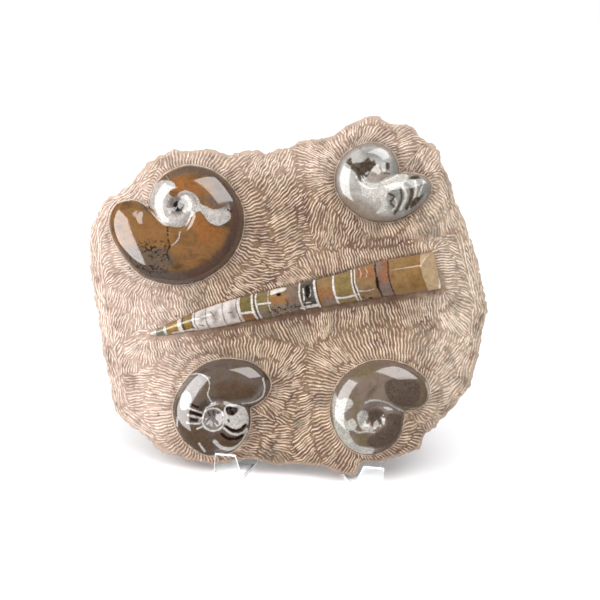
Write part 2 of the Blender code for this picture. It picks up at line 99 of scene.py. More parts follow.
# Goniatites: centre of the coil in the plate's plane, outline around that centre from the notch
# on, middle of the fan of faces, seam between the last two turns, heights, and marks.
# A mark is a line (half width in millimetres, then pixels) or a patch (pixels of its edge).
goniatites = {
    "goniatite_upper_left": {
        "slot": "amber_calcite",
        "centre": (-90.3, 69.6),
        "outline": [
            (-22.9, -1.5), (-21.5, 7.4), (-20, 11.8), (-15.5, 19.2), (-8.9, 25.2), (1.5, 29.6),
            (8.9, 30.7), (20.7, 28.5), (31.1, 22.9), (39.2, 14.1), (45.9, 3), (48.1, -8.9),
            (45.9, -23.7), (39.2, -37), (29.6, -46.6), (16.3, -54.4), (1.5, -57.7), (-13.3, -56.6),
            (-27.4, -51.4), (-38.5, -40.7), (-48.1, -25.9), (-51.8, -13.3), (-50.3, -3.7),
            (-45.9, 2.2), (-38.5, 4.4), (-32.6, 4.1), (-27.4, 1.5),
        ],
        "fan": (0, -19),
        "seam": [(-22.9, -1.5), (-15, -10.4), (-9, -15), (0, -17.4), (6, -14), (9, -8)],
        "rim": 26.0, "tilt": 0.0, "rise": 15.5, "shoulder": 30.0,
        "mound": 5.5, "reach": 21.0, "collar": 0.0,
        "body": ["#7B5836", "#65492E", "#4E3C2A"], "ring": "#4A3A35", "ringWidth": 9.5,
        "fleck": "#A8824E",
        "ringSide": (0.75, -0.66),
        "pale": "#B0AAA5", "dark": "#24211B", "warm": "#8A5830", "grey": "#5A504A",
        "specks": "#23241B", "order": ["warm", "pale", "grey", "specks", "dark"],
        "marks": {
            "pale": [
                ("patch", (158, 181), (166, 180), (174, 183), (176, 187), (171, 190), (170, 195),
                 (176, 198), (179, 194), (186, 191), (194, 194), (199, 199), (202, 205),
                 (207, 207),
                 (214, 210), (223, 208), (228.5, 203.5), (230.5, 212), (230.5, 219), (224, 224.5),
                 (217, 226), (209, 222), (204, 215), (200, 212), (194, 215), (190, 221),
                 (183, 227),
                 (175, 227.5), (165, 224.5), (159, 220), (155, 212), (148, 204), (149, 193),
                 (153, 186)),
                ("line", 0.45, (181, 232), (179, 240), (173, 246)),
                ("line", 0.35, (166, 176), (169, 181), (168, 187)),
            ],
            "dark": [
                ("line", 0.5, (168, 228), (169, 236)),
                ("line", 0.6, (146, 247), (150, 251), (155, 247)),
                ("line", 0.5, (169, 240), (171, 246), (168, 253), (170, 260)),
                ("line", 0.6, (134, 256), (140, 258)),
                ("line", 0.7, (228, 210), (231, 212)),
                ("patch", (173, 205), (177, 201), (183, 204), (185, 209), (179, 212), (174, 210)),
            ],
            "warm": [
                ("patch", (172, 180), (182, 175), (194, 178), (200, 186), (198, 194), (188, 193),
                 (176, 196), (170, 192)),
                ("patch", (196, 216), (203, 214), (211, 225), (221, 228), (222, 238), (205, 243),
                 (196, 232)),
            ],
            "grey": [
                ("patch", (168, 205), (171, 198), (178, 196), (186, 199), (189, 206), (186, 212),
                 (178, 216), (171, 212)),
                ("line", 0.5, (181, 196), (187, 194), (194, 197), (198, 204)),
                ("patch", (112, 238), (120, 247), (134, 246), (145, 250), (158, 247), (171, 252),
                 (175, 262), (169, 270), (180, 274), (192, 281), (170, 285), (150, 279),
                 (130, 267), (116, 252)),
                ("patch", (164, 180), (176, 168), (194, 164), (212, 168), (224, 178), (215, 181),
                 (202, 175), (188, 174), (176, 177)),
                ("patch", (205, 198), (216, 194), (229, 190), (235, 200), (231, 208), (220, 210),
                 (210, 206)),
            ],
            "specks": [
                ("patch", (138, 245), (146, 241), (156, 240), (168, 243), (172, 252), (166, 262),
                 (150, 258), (138, 254)),
                ("patch", (126, 256), (140, 260), (160, 266), (172, 270), (150, 276), (134, 266)),
            ],
        },
    },
    "goniatite_upper_right": {
        "slot": "silver_calcite",
        "centre": (51.8, 96.2),
        "outline": [
            (22.2, -1.5), (21.8, 3.7), (20, 9.6), (15.5, 16.3), (7.4, 20.7), (0, 21.5),
            (-8.1, 19.2),
            (-15.5, 14.8), (-22.2, 6.7), (-25.2, -4.4), (-23.7, -14.8), (-17.8, -24.4),
            (-8.9, -32.2), (0, -36.3), (9.6, -37.7), (20, -36.6), (30.3, -31.8), (38.5, -25.9),
            (44.4, -18.5), (46.6, -11.1), (45.1, -6.7), (40.7, -3.7), (34, -1.9), (28.1, -1.5),
        ],
        "fan": (2, -12),
        "seam": [(22.2, -1.5), (15, -6), (9, -8.5), (3, -10), (-4, -8), (-7, -3)],
        "rim": 24.0, "tilt": 0.0, "rise": 12.5, "shoulder": 24.0,
        "mound": 4.5, "reach": 24.0, "collar": 2.4,
        "body": ["#A19E99", "#86827C", "#9C9B98"], "ring": "#766B62", "ringWidth": 3.0,
        "fleck": "#B9B7B2", "soften": 1.3,
        "pale": "#BDB9B1", "dark": "#4A3E33", "warm": "#7C6A5A", "grey": "#6F706A",
        "order": ["warm", "grey", "pale", "dark"],
        "marks": {
            "pale": [
                ("patch", (359.7, 182.4), (369, 183), (379.5, 182.4), (387.2, 176.9),
                 (402.6, 172.5),
                 (409.2, 175.8), (404, 184), (396, 188), (390, 192), (386, 198), (388, 206),
                 (385, 211), (376, 213.5), (381.7, 204), (377.3, 198), (374, 203.5), (371, 196),
                 (367, 198.5), (363, 197), (361, 190)),
                ("line", 1.0, (402, 185), (406, 196), (401, 209)),
                ("line", 0.9, (415, 180), (416, 190), (413, 203), (409, 208)),
                ("line", 0.6, (424, 181), (421, 190), (418, 198)),
                ("line", 0.7, (393, 197), (397, 203), (392, 211)),
                ("patch", (355.5, 167), (358, 165.5), (359.5, 168), (357, 169)),
                ("line", 0.6, (353, 174), (358, 172), (362, 173)),
                ("patch", (382, 162), (386, 163), (386, 170), (384, 173), (381, 168)),
            ],
            "dark": [
                ("patch", (344.3, 164.8), (350.4, 157.1), (352.5, 162.6), (356.4, 162.6),
                 (363, 161.5), (368.5, 157.1), (371.8, 161.5), (374, 159.3), (376.2, 165.9),
                 (370.7, 170.3), (367.4, 176.9), (363, 178), (360.8, 181.3), (356.4, 180.2),
                 (357.5, 175.8), (353.6, 170.9), (348.7, 168.1)),
                ("patch", (386, 163), (389.5, 163), (389.5, 169), (386, 169)),
                ("line", 0.9, (388.5, 193.5), (393.8, 196.7), (390.5, 202.2), (393.8, 206.6)),
                ("line", 0.9, (400.4, 189), (401.5, 197.8), (398.2, 207.7), (394.9, 213.2)),
                ("line", 1.4, (405.9, 183.5), (411.4, 189), (410.9, 197.8), (407, 207.7)),
                ("patch", (409.2, 178), (418, 174.2), (423, 182), (421.3, 186), (416, 180)),
                ("patch", (413.6, 198.5), (420, 196), (424.5, 193.5), (420, 201), (412, 207.5),
                 (410, 206)),
                ("line", 0.4, (384, 173), (390, 173.5)),
            ],
            "warm": [
                ("patch", (344, 197), (352, 195), (358, 197), (366, 201), (374, 206), (378, 213),
                 (388, 215), (400, 214.5), (392, 221), (376, 221), (358, 215), (348, 206)),
                ("patch", (371, 170), (384, 168), (386, 176), (378, 181), (368, 180)),
            ],
            "grey": [
                ("patch", (386, 190), (398, 186), (412, 176), (424, 180), (430, 190), (414, 208),
                 (396, 214), (388, 208)),
                ("patch", (392, 158), (398, 160), (397, 172), (391, 173)),
                ("patch", (362, 150), (378, 152), (386, 160), (374, 158), (364, 157)),
            ],
        },
    },
    "goniatite_lower_left": {
        "slot": "brown_calcite",
        "centre": (-64.4, -85.8),
        "outline": [
            (26.6, 5.9), (27, -1.5), (26.6, -8.9), (24.4, -15.5), (20, -22.2), (13.3, -27.4),
            (3.7, -30), (-5.2, -30.3), (-13.3, -26.6), (-21.5, -20), (-27.4, -10.4), (-30.3, 1.5),
            (-28.9, 11.8), (-23.7, 22.2), (-16.3, 31.1), (-6.7, 37.7), (4.4, 41.1), (16.3, 41.1),
            (27.4, 38.5), (36.3, 32.9), (41.4, 25.9), (41.8, 20), (38.5, 13.3), (32.6, 8.5),
        ],
        "fan": (3, 12),
        "seam": [(26.6, 5.9), (17, 9.5), (8, 12), (0, 11), (-7, 6), (-9, -1)],
        "rim": 24.0, "tilt": 0.05, "rise": 14.0, "shoulder": 27.0,
        "mound": 4.5, "reach": 19.0, "collar": 0.0,
        "body": ["#5A4E48", "#43362C", "#514531"], "ring": "#4F443E", "ringWidth": 3.0,
        "fleck": "#75685A",
        "pale": "#B9B5AF", "dark": "#24150D", "warm": "#4F3D2B", "grey": "#7B736F",
        "order": ["warm", "grey", "pale", "dark"],
        "marks": {
            "pale": [
                ("line", 0.4, (189, 375.4), (198, 373.7), (205.7, 376.5), (209.5, 382),
                 (209.5, 388.6), (208, 394), (212, 403)),
                ("line", 0.7, (188.6, 407.8), (195, 410), (201.3, 412.8)),
                ("line", 0.7, (188, 415), (195, 416.5), (201.3, 418.3)),
                ("line", 0.65, (186.5, 422.7), (193, 423.5), (200.2, 423.3)),
                ("line", 0.55, (197, 428.8), (203, 426)),
                ("patch", (181, 396), (186, 391), (191, 395), (191, 403), (186, 410), (180, 408)),
                ("line", 0.7, (224.7, 419.4), (221.4, 427.4), (213.4, 430.7), (205.4, 427.4),
                 (202.1, 419.4), (205.4, 411.4), (213.4, 408.1), (221.4, 411.4), (224.7, 419.4)),
                ("patch", (224.4, 407.3), (231, 404), (238, 405), (244, 408), (247.5, 415),
                 (248.3, 422), (246, 427), (238, 430), (231, 429), (225, 424)),
                ("line", 0.9, (224.4, 428), (231, 433.5), (240, 434.5), (246.4, 430)),
                ("line", 1.4, (214.5, 441.4), (222.2, 448.5), (233, 449.5), (242, 443),
                 (247, 433)),
                ("line", 0.9, (199, 444), (204, 452)),
                ("line", 0.8, (177, 418), (176, 427)),
                ("line", 0.55, (262.8, 378.7), (264.6, 388), (261.8, 397.4), (253, 402.4),
                 (242, 404)),
            ],
            "dark": [
                ("patch", (226, 407), (231, 406), (237, 407), (237.5, 411), (234, 415), (229, 415),
                 (226, 411)),
                ("line", 0.8, (228.5, 420), (229, 421)),
                ("line", 1.2, (226.6, 426.5), (233.2, 430.4), (240, 429.6), (245.3, 425.5)),
                ("line", 1.2, (222, 434), (228, 438.5), (236, 439), (242, 436)),
                ("line", 1.0, (191, 404), (198, 407)),
                ("line", 1.1, (189, 411.5), (195, 413), (201, 415.5)),
                ("line", 0.9, (191, 419), (200, 421)),
                ("line", 0.4, (208, 412), (210, 416)),
                ("line", 0.4, (213, 411), (213.5, 415)),
                ("line", 0.4, (218, 412), (216.5, 416)),
                ("line", 1.1, (262, 370), (267, 379)),
            ],
            "warm": [
                ("patch", (216, 384), (232, 380), (246, 384), (258, 386), (259, 394), (250, 400),
                 (236, 401), (220, 398)),
                ("patch", (217, 433), (226, 438), (234, 444), (229, 448), (221, 444), (215, 438)),
                ("patch", (180, 424), (196, 427), (206, 434), (214, 446), (202, 452), (187, 440)),
            ],
            "grey": [
                ("patch", (204, 412), (213, 409), (222, 412), (224, 420), (220, 428), (212, 430),
                 (204, 426), (203, 419)),
                ("line", 1.4, (209, 400), (222, 403.5), (240, 402.5), (254, 399), (262, 388)),
                ("patch", (176, 384), (184, 377), (194, 375), (203, 380), (200, 392), (190, 398),
                 (178, 398)),
            ],
        },
    },
    "goniatite_lower_right": {
        "slot": "mauve_calcite",
        "centre": (57.0, -87.3),
        "outline": [
            (20.7, 5.2), (20, -3.7), (17.8, -13.3), (12.6, -20.7), (4.4, -25.9), (-5.2, -28.5),
            (-14.8, -26.6), (-23.7, -20.7), (-30.3, -11.1), (-34, 0.7), (-32.6, 14.1),
            (-27.4, 25.9),
            (-18.5, 34.8), (-7.4, 40.3), (3.7, 42.2), (15.5, 40.7), (26.6, 36.3), (35.5, 29.2),
            (39.6, 20.7), (37.7, 11.8), (31.8, 6.7), (25.9, 5.6),
        ],
        "fan": (0, 13),
        "seam": [(20.7, 5.2), (13, 8), (5, 9.5), (-3, 8.5), (-8, 4), (-9, -2)],
        "rim": 24.5, "tilt": 0.03, "rise": 14.0, "shoulder": 27.0,
        "mound": 5.0, "reach": 19.0, "collar": 0.0,
        "body": ["#6B5D53", "#54473D", "#73665B"], "ring": "#5F5148", "ringWidth": 3.0,
        "fleck": "#7A6C60", "soften": 1.8,
        "pale": "#ABA8A0", "dark": "#54473E", "warm": "#5F5335", "grey": "#7D7370",
        "order": ["grey", "warm", "dark", "pale"],
        "marks": {
            "pale": [
                ("patch", (331, 384), (335, 392), (339, 400), (345, 398), (351, 399), (353, 404),
                 (349, 409), (344, 413), (347, 421), (352, 418), (357, 424), (354, 430),
                 (349, 431),
                 (352, 439), (359, 446), (375, 449), (367, 456), (352, 453), (340, 441),
                 (334, 426)),
                ("patch", (357, 415), (361, 410), (366, 411), (368, 417), (366, 422), (373, 427),
                 (378, 426), (371, 431), (362, 429), (358, 422)),
                ("line", 0.7, (352, 428), (358, 432), (366, 431), (374, 432)),
                ("line", 0.8, (426.8, 383.6), (429.6, 393.5), (428, 403.4), (420, 409),
                 (411.4, 410.6)),
                ("line", 0.6, (365, 402.3), (374, 399.6), (385, 401.8), (396, 407.8),
                 (404.8, 412.2)),
                # a painted glint in the pit of the coil
                ("line", 1.0, (382, 418), (383.5, 419.5)),
            ],
            "dark": [
                ("patch", (384, 384), (393, 378), (406, 377), (417, 381), (421, 391), (418, 401),
                 (409, 407), (397, 405), (388, 398)),
                ("patch", (387, 414), (402, 416), (403, 426), (398, 438), (383, 448), (369, 446),
                 (367, 439), (377, 432), (386, 425)),
                ("patch", (369, 411), (376, 408.5), (383, 411), (385, 417), (381, 424), (373, 425),
                 (368, 419)),
            ],
            "warm": [
                ("patch", (418, 378), (425, 381), (428.5, 388), (428.5, 398), (424, 405),
                 (416, 409), (406, 409), (414, 404), (420, 396), (421, 388)),
                ("line", 1.5, (353, 397), (356.4, 410), (354.2, 421), (358.6, 426.5)),
                ("patch", (357, 433), (364, 431), (368, 436), (367, 446), (360, 445)),
                ("patch", (352, 376), (362, 368), (374, 366), (376, 372), (364, 378)),
            ],
            "grey": [
                ("line", 2.6, (364, 408), (372, 404), (383, 405.5), (395, 410.5)),
                ("patch", (333, 408), (342, 402), (349, 410), (346, 420), (341, 432), (336, 422)),
            ],
        },
    },
}
coil = {"radius": 7.0, "depth": 5.5, "seamWidth": 2.8, "seamDepth": 2.6}
shellMesh = {"rays": 384, "rings": 96, "floor": 12.0, "wallRings": 4}

orthoceras = {
    "tip": (-112, -25.5),
    "end": (102.5, 21.0),  # of the line that the profile is measured from
    # distance from the tip, radius, and how far the middle stands above the line
    "profile": [
        (0, 1.3, 0), (12, 3.5, 0.2), (24, 5.3, 1.3), (39, 7.4, 2.2), (54, 8.7, 2.9),
        (72, 9.3, 3.4),
        (95, 10.2, 3.2), (120, 10.5, 3.3), (146, 11.2, 3.0), (162, 12.5, 3.4), (178, 13.6, 3.4),
        (195, 14.0, 2.5), (219.5, 14.2, 1.1),
    ],
    "mound": 2.5,  # of the stone beside the tip, and twice as much at the broad end
    "reach": 13.0,
    "tipLevel": 21.5,  # height of the widest line at the tip
    "endLevel": 25.5,
    "floor": 13.0,
    "facetDepth": 13.0,  # the broad end is ground off at a slant over this length
    "facetSlope": 0.8,
    "rows": 480,
    "arcColumns": 72,
    "wallColumns": 6,
    "floorColumns": 12,
    "bow": 2.6,  # the walls between chambers bow towards the tip by this much at the broad end
    # walls between the chambers: pixel across the photograph at mid height, and half width in mm
    "walls": [
        (163.3, 0.95), (178.3, 1.5), (192.8, 0.7), (238.3, 0.42), (252.2, 0.75), (256.2, 0.55),
        (299.9, 0.6), (315.2, 0.8), (334.0, 0.7), (352.3, 0.5), (355.4, 0.45), (268.6, 0.2),
    ],
    # thin dark lines: pixel and half width
    "threads": [
        (205.3, 0.25), (222.6, 0.25), (236.6, 0.3), (254.4, 0.2), (353.9, 0.2), (301.6, 0.25),
        (317.2, 0.3), (376.3, 0.55), (388.8, 0.4), (182.0, 0.3),
    ],
    # chambers: pixel where each begins, and its colour
    "chambers": [
        (120, "#BDB4AC"), (154, "#6E6A58"), (165, "#866838"), (180, "#6B5B38"), (183.5, "#7D6234"),
        (188.5, "#665A40"), (193.5, "#BBB2AC"), (239.2, "#625636"), (252.5, "#6C5E40"),
        (269.5, "#806540"), (285, "#6A5A4E"), (301, "#4A4640"), (316, "#786142"), (335, "#73623F"),
        (356, "#765E44"), (376.5, "#6E5248"), (389.5, "#7A5F3E"), (405, "#785B38"),
        (421, "#A18A6C"),
    ],
    "chamberEnd": 444.0,
    "pale": "#CFC8C2", "dark": "#1E1915", "warm": "#8A5B3C", "grey": "#776A62",
    "specks": "#38322B", "order": ["warm", "grey", "pale", "specks", "dark"],
    "marks": {
        "pale": [
            ("line", 0.55, (171, 333.5), (182, 331.5), (193, 329.5)),
            ("line", 0.8, (241, 313.5), (247, 312.8), (254, 312)),
            ("line", 0.6, (257, 304.6), (263, 303.6), (270, 303)),
            ("patch", (270.5, 291), (276, 288.5), (286, 287.5), (284, 291), (277, 293),
             (271, 295)),
            ("line", 0.45, (303, 289), (304, 297), (304, 304)),
            ("line", 0.3, (309, 286), (311, 292), (309, 297)),
            ("line", 0.5, (306, 303), (311, 302)),
            ("line", 1.1, (302, 308), (310, 306.5), (319, 305)),
            ("line", 0.7, (337, 298), (346, 297.5), (357, 294.5)),
            ("line", 0.15, (359, 268), (361, 273), (360, 278)),
            ("line", 0.15, (365, 267), (367, 272), (366, 277)),
            ("line", 0.2, (358, 291), (366, 291), (374, 289)),
            ("line", 0.5, (193, 330), (200, 330.5), (210, 328)),
            ("line", 0.8, (438, 256), (440, 266), (441, 278), (440, 288)),
        ],
        "dark": [
            ("patch", (276, 293.5), (280, 293), (281, 295.5), (277, 296)),
            ("patch", (305, 287), (309, 285), (310, 292), (308, 299), (306, 295)),
            ("patch", (369, 297.5), (373, 297), (373, 299), (370, 299.3)),
            ("line", 0.4, (362, 297), (365, 298)),
            ("patch", (375, 277), (377.5, 278), (379, 288), (376, 287)),
            ("line", 0.35, (196, 318), (200, 317)),
            ("line", 0.3, (210, 312), (214, 316)),
            ("line", 0.35, (228, 313), (232, 312)),
            ("line", 0.3, (198, 325), (203, 326)),
            ("line", 0.3, (285, 299), (288, 303), (287, 308)),
            ("line", 0.3, (272, 309), (276, 312)),
        ],
        "specks": [
            ("patch", (302, 284), (311, 281), (314, 290), (316, 304), (302, 306)),
            ("patch", (270, 306), (298, 304), (300, 311), (271, 316)),
        ],
        "warm": [
            ("patch", (242, 315.5), (255, 314.5), (255, 320), (243, 321)),
            ("patch", (317, 289), (333, 289), (334, 300), (320, 300)),
            ("patch", (358, 266), (375, 266), (374, 278), (358, 279)),
            ("patch", (379, 262), (387, 261), (388, 280), (382, 282)),
            ("patch", (271, 297.5), (289, 297.5), (289, 303.5), (272, 303.5)),
        ],
        "grey": [
            ("patch", (271, 305), (298, 303.5), (300, 311), (284, 315), (271, 316)),
            ("patch", (325, 299), (336, 296.5), (337, 304), (326, 306)),
            ("patch", (381, 285), (391, 284), (392, 296), (382, 297)),
            ("patch", (200, 314), (204, 313), (205, 319), (200, 321)),
            ("patch", (212, 311), (217, 310), (218, 320), (213, 322)),
            ("patch", (229, 306), (235, 305), (237, 316), (231, 318)),
            ("patch", (256, 311), (268, 310), (268, 317), (257, 317)),
            ("patch", (374, 258), (379, 256), (382, 268), (376, 272)),
        ],
    },
}
photo = {"middle": 300.0, "fossilScale": 0.74}  # pixels, and mm a pixel at the fossils' height


def plateMatrix():
    # the lean and the turn are known, and the slab's own box says where its middle is
    turned = Matrix.Rotation(math.radians(90 - slab["leanDegrees"]), 4, "X")
    turned = turned @ Matrix.Rotation(math.radians(slab["turnDegrees"]), 4, "Z")
    corners = [turned @ Vector((u, v, slab["backBevel"])) * mm for u, v in slab["outline"]]
    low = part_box("matrix_slab")[0]
    across = low.x - min(corner.x for corner in corners)
    up = low.z - min(corner.z for corner in corners)
    return Matrix.Translation((across, 0.0, up)) @ turned


platePlace = plateMatrix()


def toWorld(points):
    place = np.array(platePlace)
    return np.asarray(points) @ (place[:3, :3].T * mm) + place[:3, 3]


def fromPhoto(pixels):
    # a mark on a fossil, from the photograph's pixels to the plate's millimetres
    spots = (np.array(pixels, float) - photo["middle"]) * photo["fossilScale"]
    return spots * (1, -1)


# Measuring in the plate's plane

def segmentDistance(points, start, end):
    along = np.asarray(end, float) - start
    share = np.clip((points - start) @ along / (along @ along), 0.0, 1.0)
    return np.linalg.norm(points - start - share[:, None] * along, axis=1)


def lineDistance(points, line):
    nearest = np.full(len(points), 1e9)
    for start, end in zip(line, line[1:]):
        nearest = np.minimum(nearest, segmentDistance(points, np.asarray(start, float), end))
    return nearest


def outlineDistance(points, outline):
    # distance to a closed outline, positive inside it
    closed = np.vstack([outline, outline[:1]])
    distance = lineDistance(points, closed)
    inside = np.zeros(len(points), bool)
    for (x1, y1), (x2, y2) in zip(closed, closed[1:]):
        if y1 == y2:
            continue
        crosses = (y1 > points[:, 1]) != (y2 > points[:, 1])
        inside ^= crosses & (points[:, 0] < (x2 - x1) * (points[:, 1] - y1) / (y2 - y1) + x1)
    return np.where(inside, distance, -distance)


def smoothDepth(points, outline):
    # distance inside an outline with its creases smoothed, exact beside a straight edge
    total = np.zeros(len(points))
    for start, end in zip(outline, np.roll(outline, -1, axis=0)):
        length = math.dist(start, end)
        if length == 0:
            continue
        count = max(1, round(length))  # about one sample a millimetre
        for share in (np.arange(count) + 0.5) / count:
            sample = start * (1 - share) + end * share
            squares = ((points - sample) ** 2).sum(axis=1)
            total += length / count / np.maximum(squares, 0.01) ** 2
    smooth = (2 / math.pi * total) ** (-1 / 3)
    return np.minimum(smooth, np.maximum(outlineDistance(points, outline), 0.0))


def splineThrough(points, steps, closed):
    points = np.array(points, float)
    if closed:
        padded = np.vstack([points[-1:], points, points[:2]])
    else:
        padded = np.vstack([2 * points[:1] - points[1:2], points, 2 * points[-1:] - points[-2:-1]])
    share = (np.arange(steps) / steps)[:, None]
    parts = []
    for before, here, after, beyond in zip(padded, padded[1:], padded[2:], padded[3:]):
        linear = (after - before) * share
        square = (2 * before - 5 * here + 4 * after - beyond) * share ** 2
        cube = (3 * here - before - 3 * after + beyond) * share ** 3
        parts.append(here + 0.5 * (linear + square + cube))
    if not closed:
        parts.append(points[-1:])
    return np.vstack(parts)


def rockNoise(points, size, seed):
    # smooth noise between -1 and 1 with bumps of about this size
    lattice = np.random.default_rng(seed).uniform(-1, 1, (61, 61))
    spots = np.asarray(points)[:, :2] / size + 17.3
    corner = np.floor(spots).astype(int)
    share = spots - corner
    share = share * share * (3 - 2 * share)
    i, j = corner[:, 0] % 61, corner[:, 1] % 61
    nextI, nextJ = (i + 1) % 61, (j + 1) % 61
    low = lattice[i, j] * (1 - share[:, 0]) + lattice[nextI, j] * share[:, 0]
    high = lattice[i, nextJ] * (1 - share[:, 0]) + lattice[nextI, nextJ] * share[:, 0]
    return low * (1 - share[:, 1]) + high * share[:, 1]


def shellLoop(shell):
    # the outline as a smooth curve with one corner, at its notch
    loop = splineThrough(shell["outline"] + shell["outline"][:1], 4, False)[:-1]
    return loop + np.array(shell["centre"])


def coneAxes():
    # where the cone starts, how long it is, and its directions along and to the side
    tip, end = np.array(orthoceras["tip"]), np.array(orthoceras["end"])
    length = np.linalg.norm(end - tip)
    along = (end - tip) / length
    return tip, length, along, np.array((-along[1], along[0]))


def coneFootprint():
    tip, _, along, side = coneAxes()
    far, radius, shift = np.array(orthoceras["profile"], float).T
    middles = tip + np.outer(far, along) + np.outer(shift, side)
    lower = middles - np.outer(radius, side)
    upper = middles + np.outer(radius, side)
    return np.vstack([lower, upper[::-1]])


loops = {name: shellLoop(shell) for name, shell in goniatites.items()}
loops["orthoceras"] = coneFootprint()
slabLoop = splineThrough(slab["outline"], 4, True)


def groundHeight(points):
    # mounds under the fossils, valleys between them, an edge that falls away, and fine lumps
    height = np.full(len(points), slab["level"])
    for name, shell in goniatites.items():
        outside = np.maximum(-outlineDistance(points, loops[name]), 0.0)
        height += shell["mound"] * np.exp(-((outside / shell["reach"]) ** 2))
        collar = (outside - slab["collarAway"]) / slab["collarWidth"]
        height += shell["collar"] * np.exp(-(collar ** 2))
        ditch = slab["ditchShare"] * shell["collar"]
        height -= ditch * np.exp(-((outside / slab["ditchWidth"]) ** 2))
    beside = np.maximum(-outlineDistance(points, loops["orthoceras"]), 0.0)
    grown = np.clip((points[:, 0] - orthoceras["tip"][0]) / 200.0, 0.0, 1.0)
    ridge = orthoceras["mound"] * (1 + grown)
    height += ridge * np.exp(-((beside / orthoceras["reach"]) ** 2))
    depth, middle, halfWidths = slab["hollow"]
    height -= depth * np.exp(-(((points - middle) / halfWidths) ** 2).sum(axis=1))
    for depth, halfWidth, line in slab["gullies"]:
        height -= depth * np.exp(-((lineDistance(points, line) / halfWidth) ** 2))
    height += 0.5 * np.sin(points[:, 0] / 9.0 + 1.3) * np.sin(points[:, 1] / 11.0 + 0.4)
    inside = np.clip(outlineDistance(points, np.array(slab["outline"])), 0.0, slab["edgeWidth"])
    height -= slab["edgeDrop"] * (1.0 - inside / slab["edgeWidth"]) ** 2
    for tall, size, seed in slab["lumps"]:
        height += tall * rockNoise(points, size, seed)
    return height


# Meshes

def deselectAll():
    bpy.ops.object.select_all(action="DESELECT")


def setField(mesh, field, values):
    attribute = mesh.attributes.new(field, "FLOAT", "POINT")
    attribute.data.foreach_set("value", values.astype(np.float32))


def addPiece(name, mesh):
    piece = bpy.data.objects.new(name, mesh)
    bpy.context.scene.collection.objects.link(piece)
    deselectAll()
    piece.select_set(True)
    bpy.context.view_layer.objects.active = piece
    return piece


def cleanMesh(joined=0.0, flattened=0.0):
    # the active piece: doubles joined, flat faces merged, normals turned outwards
    bpy.ops.object.mode_set(mode="EDIT")
    bpy.ops.mesh.select_all(action="SELECT")
    if joined:
        bpy.ops.mesh.remove_doubles(threshold=joined)
    if flattened:
        bpy.ops.mesh.dissolve_limited(angle_limit=flattened)
    bpy.ops.mesh.normals_make_consistent(inside=False)
    bpy.ops.object.mode_set(mode="OBJECT")


def wrappedGrid(name, spots, fields):
    # a grid primitive whose rows run around the piece, from one pole to the other
    rows, columns = spots.shape[0] - 1, spots.shape[1]
    deselectAll()
    bpy.ops.mesh.primitive_grid_add(x_subdivisions=columns, y_subdivisions=rows, size=2)
    piece = bpy.context.object
    piece.name = name
    flat = np.empty(len(piece.data.vertices) * 3)
    piece.data.vertices.foreach_get("co", flat)
    flat = flat.reshape(-1, 3)
    column = np.rint((flat[:, 0] + 1) / 2 * columns).astype(int) % columns
    row = np.rint((flat[:, 1] + 1) / 2 * rows).astype(int)
    piece.data.vertices.foreach_set("co", toWorld(spots[row, column]).ravel())
    for field, values in fields.items():
        setField(piece.data, field, values[row, column])
    cleanMesh(joined=0.000002)
    bpy.ops.object.shade_smooth()
    return piece


def rayFan(rays):
    angles = np.arange(rays) * fullTurn / rays
    return angles, np.stack([np.cos(angles), np.sin(angles)], axis=1)


def polarLoop(loop, middle, angles):
    # radius of a loop seen from its middle
    around = loop - middle
    seen = np.arctan2(around[:, 1], around[:, 0])
    return np.interp(angles, seen, np.hypot(around[:, 0], around[:, 1]), period=fullTurn)


def makeSlab():
    angles, heading = rayFan(slab["rays"])
    radius = polarLoop(slabLoop, np.zeros(2), angles)
    arc = np.cumsum(np.hypot(*(np.roll(heading * radius[:, None], -1, axis=0)
                               - heading * radius[:, None]).T))
    chip = np.stack([arc, np.zeros(len(arc))], axis=1)
    radius = radius + slab["chips"] * rockNoise(chip, 4.0, 5) + 0.5 * rockNoise(chip, 1.6, 6)
    rings = []
    shares = np.linspace(0, 1, slab["faceRings"] + 1)
    for share in shares:
        flat = heading * (radius * share)[:, None]
        rings.append(np.column_stack([flat, np.zeros(len(flat))]))
    face = np.array(rings)
    flat = face[:, :, :2].reshape(-1, 2)
    height = groundHeight(flat)
    beside = np.full(len(flat), slab["farFromFossil"])
    for name, loop in loops.items():
        inside = outlineDistance(flat, loop)
        floor = orthoceras["floor"] if name == "orthoceras" else shellMesh["floor"]
        sunk = np.clip((inside - 1.2) / 1.5, 0.0, 1.0)  # the pocket under a fossil
        height = height * (1 - sunk) + (floor - 0.3) * sunk
        beside = np.minimum(beside, np.abs(inside))
    face[:, :, 2] = height.reshape(face.shape[:2])
    rim = np.maximum(outlineDistance(flat, slabLoop), 0.0).reshape(face.shape[:2])
    edge = face[-1]
    rows = [face]
    for step in range(1, slab["wallRings"] + 1):
        share = step / slab["wallRings"]
        level = edge[:, 2] * (1 - share) + slab["backBevel"] * share
        grain = np.stack([arc, level * 1.6], axis=1)
        bulge = 1.5 * rockNoise(grain, 8.0, 7) + 0.8 * rockNoise(grain, 3.2, 8)
        grown = radius + min(1.0, share * 4) * (bulge + 0.4)
        rows.append(np.column_stack([heading * grown[:, None], level])[None])
    for step in range(slab["backRings"] + 1):
        share = slab["backShrink"] * (1 - step / slab["backRings"])
        flat = heading * (radius * share)[:, None]
        level = 0.35 + 0.35 * rockNoise(flat, 7.0, 9)
        rows.append(np.column_stack([flat, level])[None])
    spots = np.vstack(rows)
    rest = (spots.shape[0] - face.shape[0], slab["rays"])  # the rows of the wall and the back
    beside = beside.reshape(face.shape[:2])
    fields = {
        "besideFossil": np.vstack([beside, np.full(rest, slab["farFromFossil"])]),
        "rim": np.vstack([rim, np.zeros(rest)]),
    }
    return wrappedGrid("limestone_slab", spots, fields)


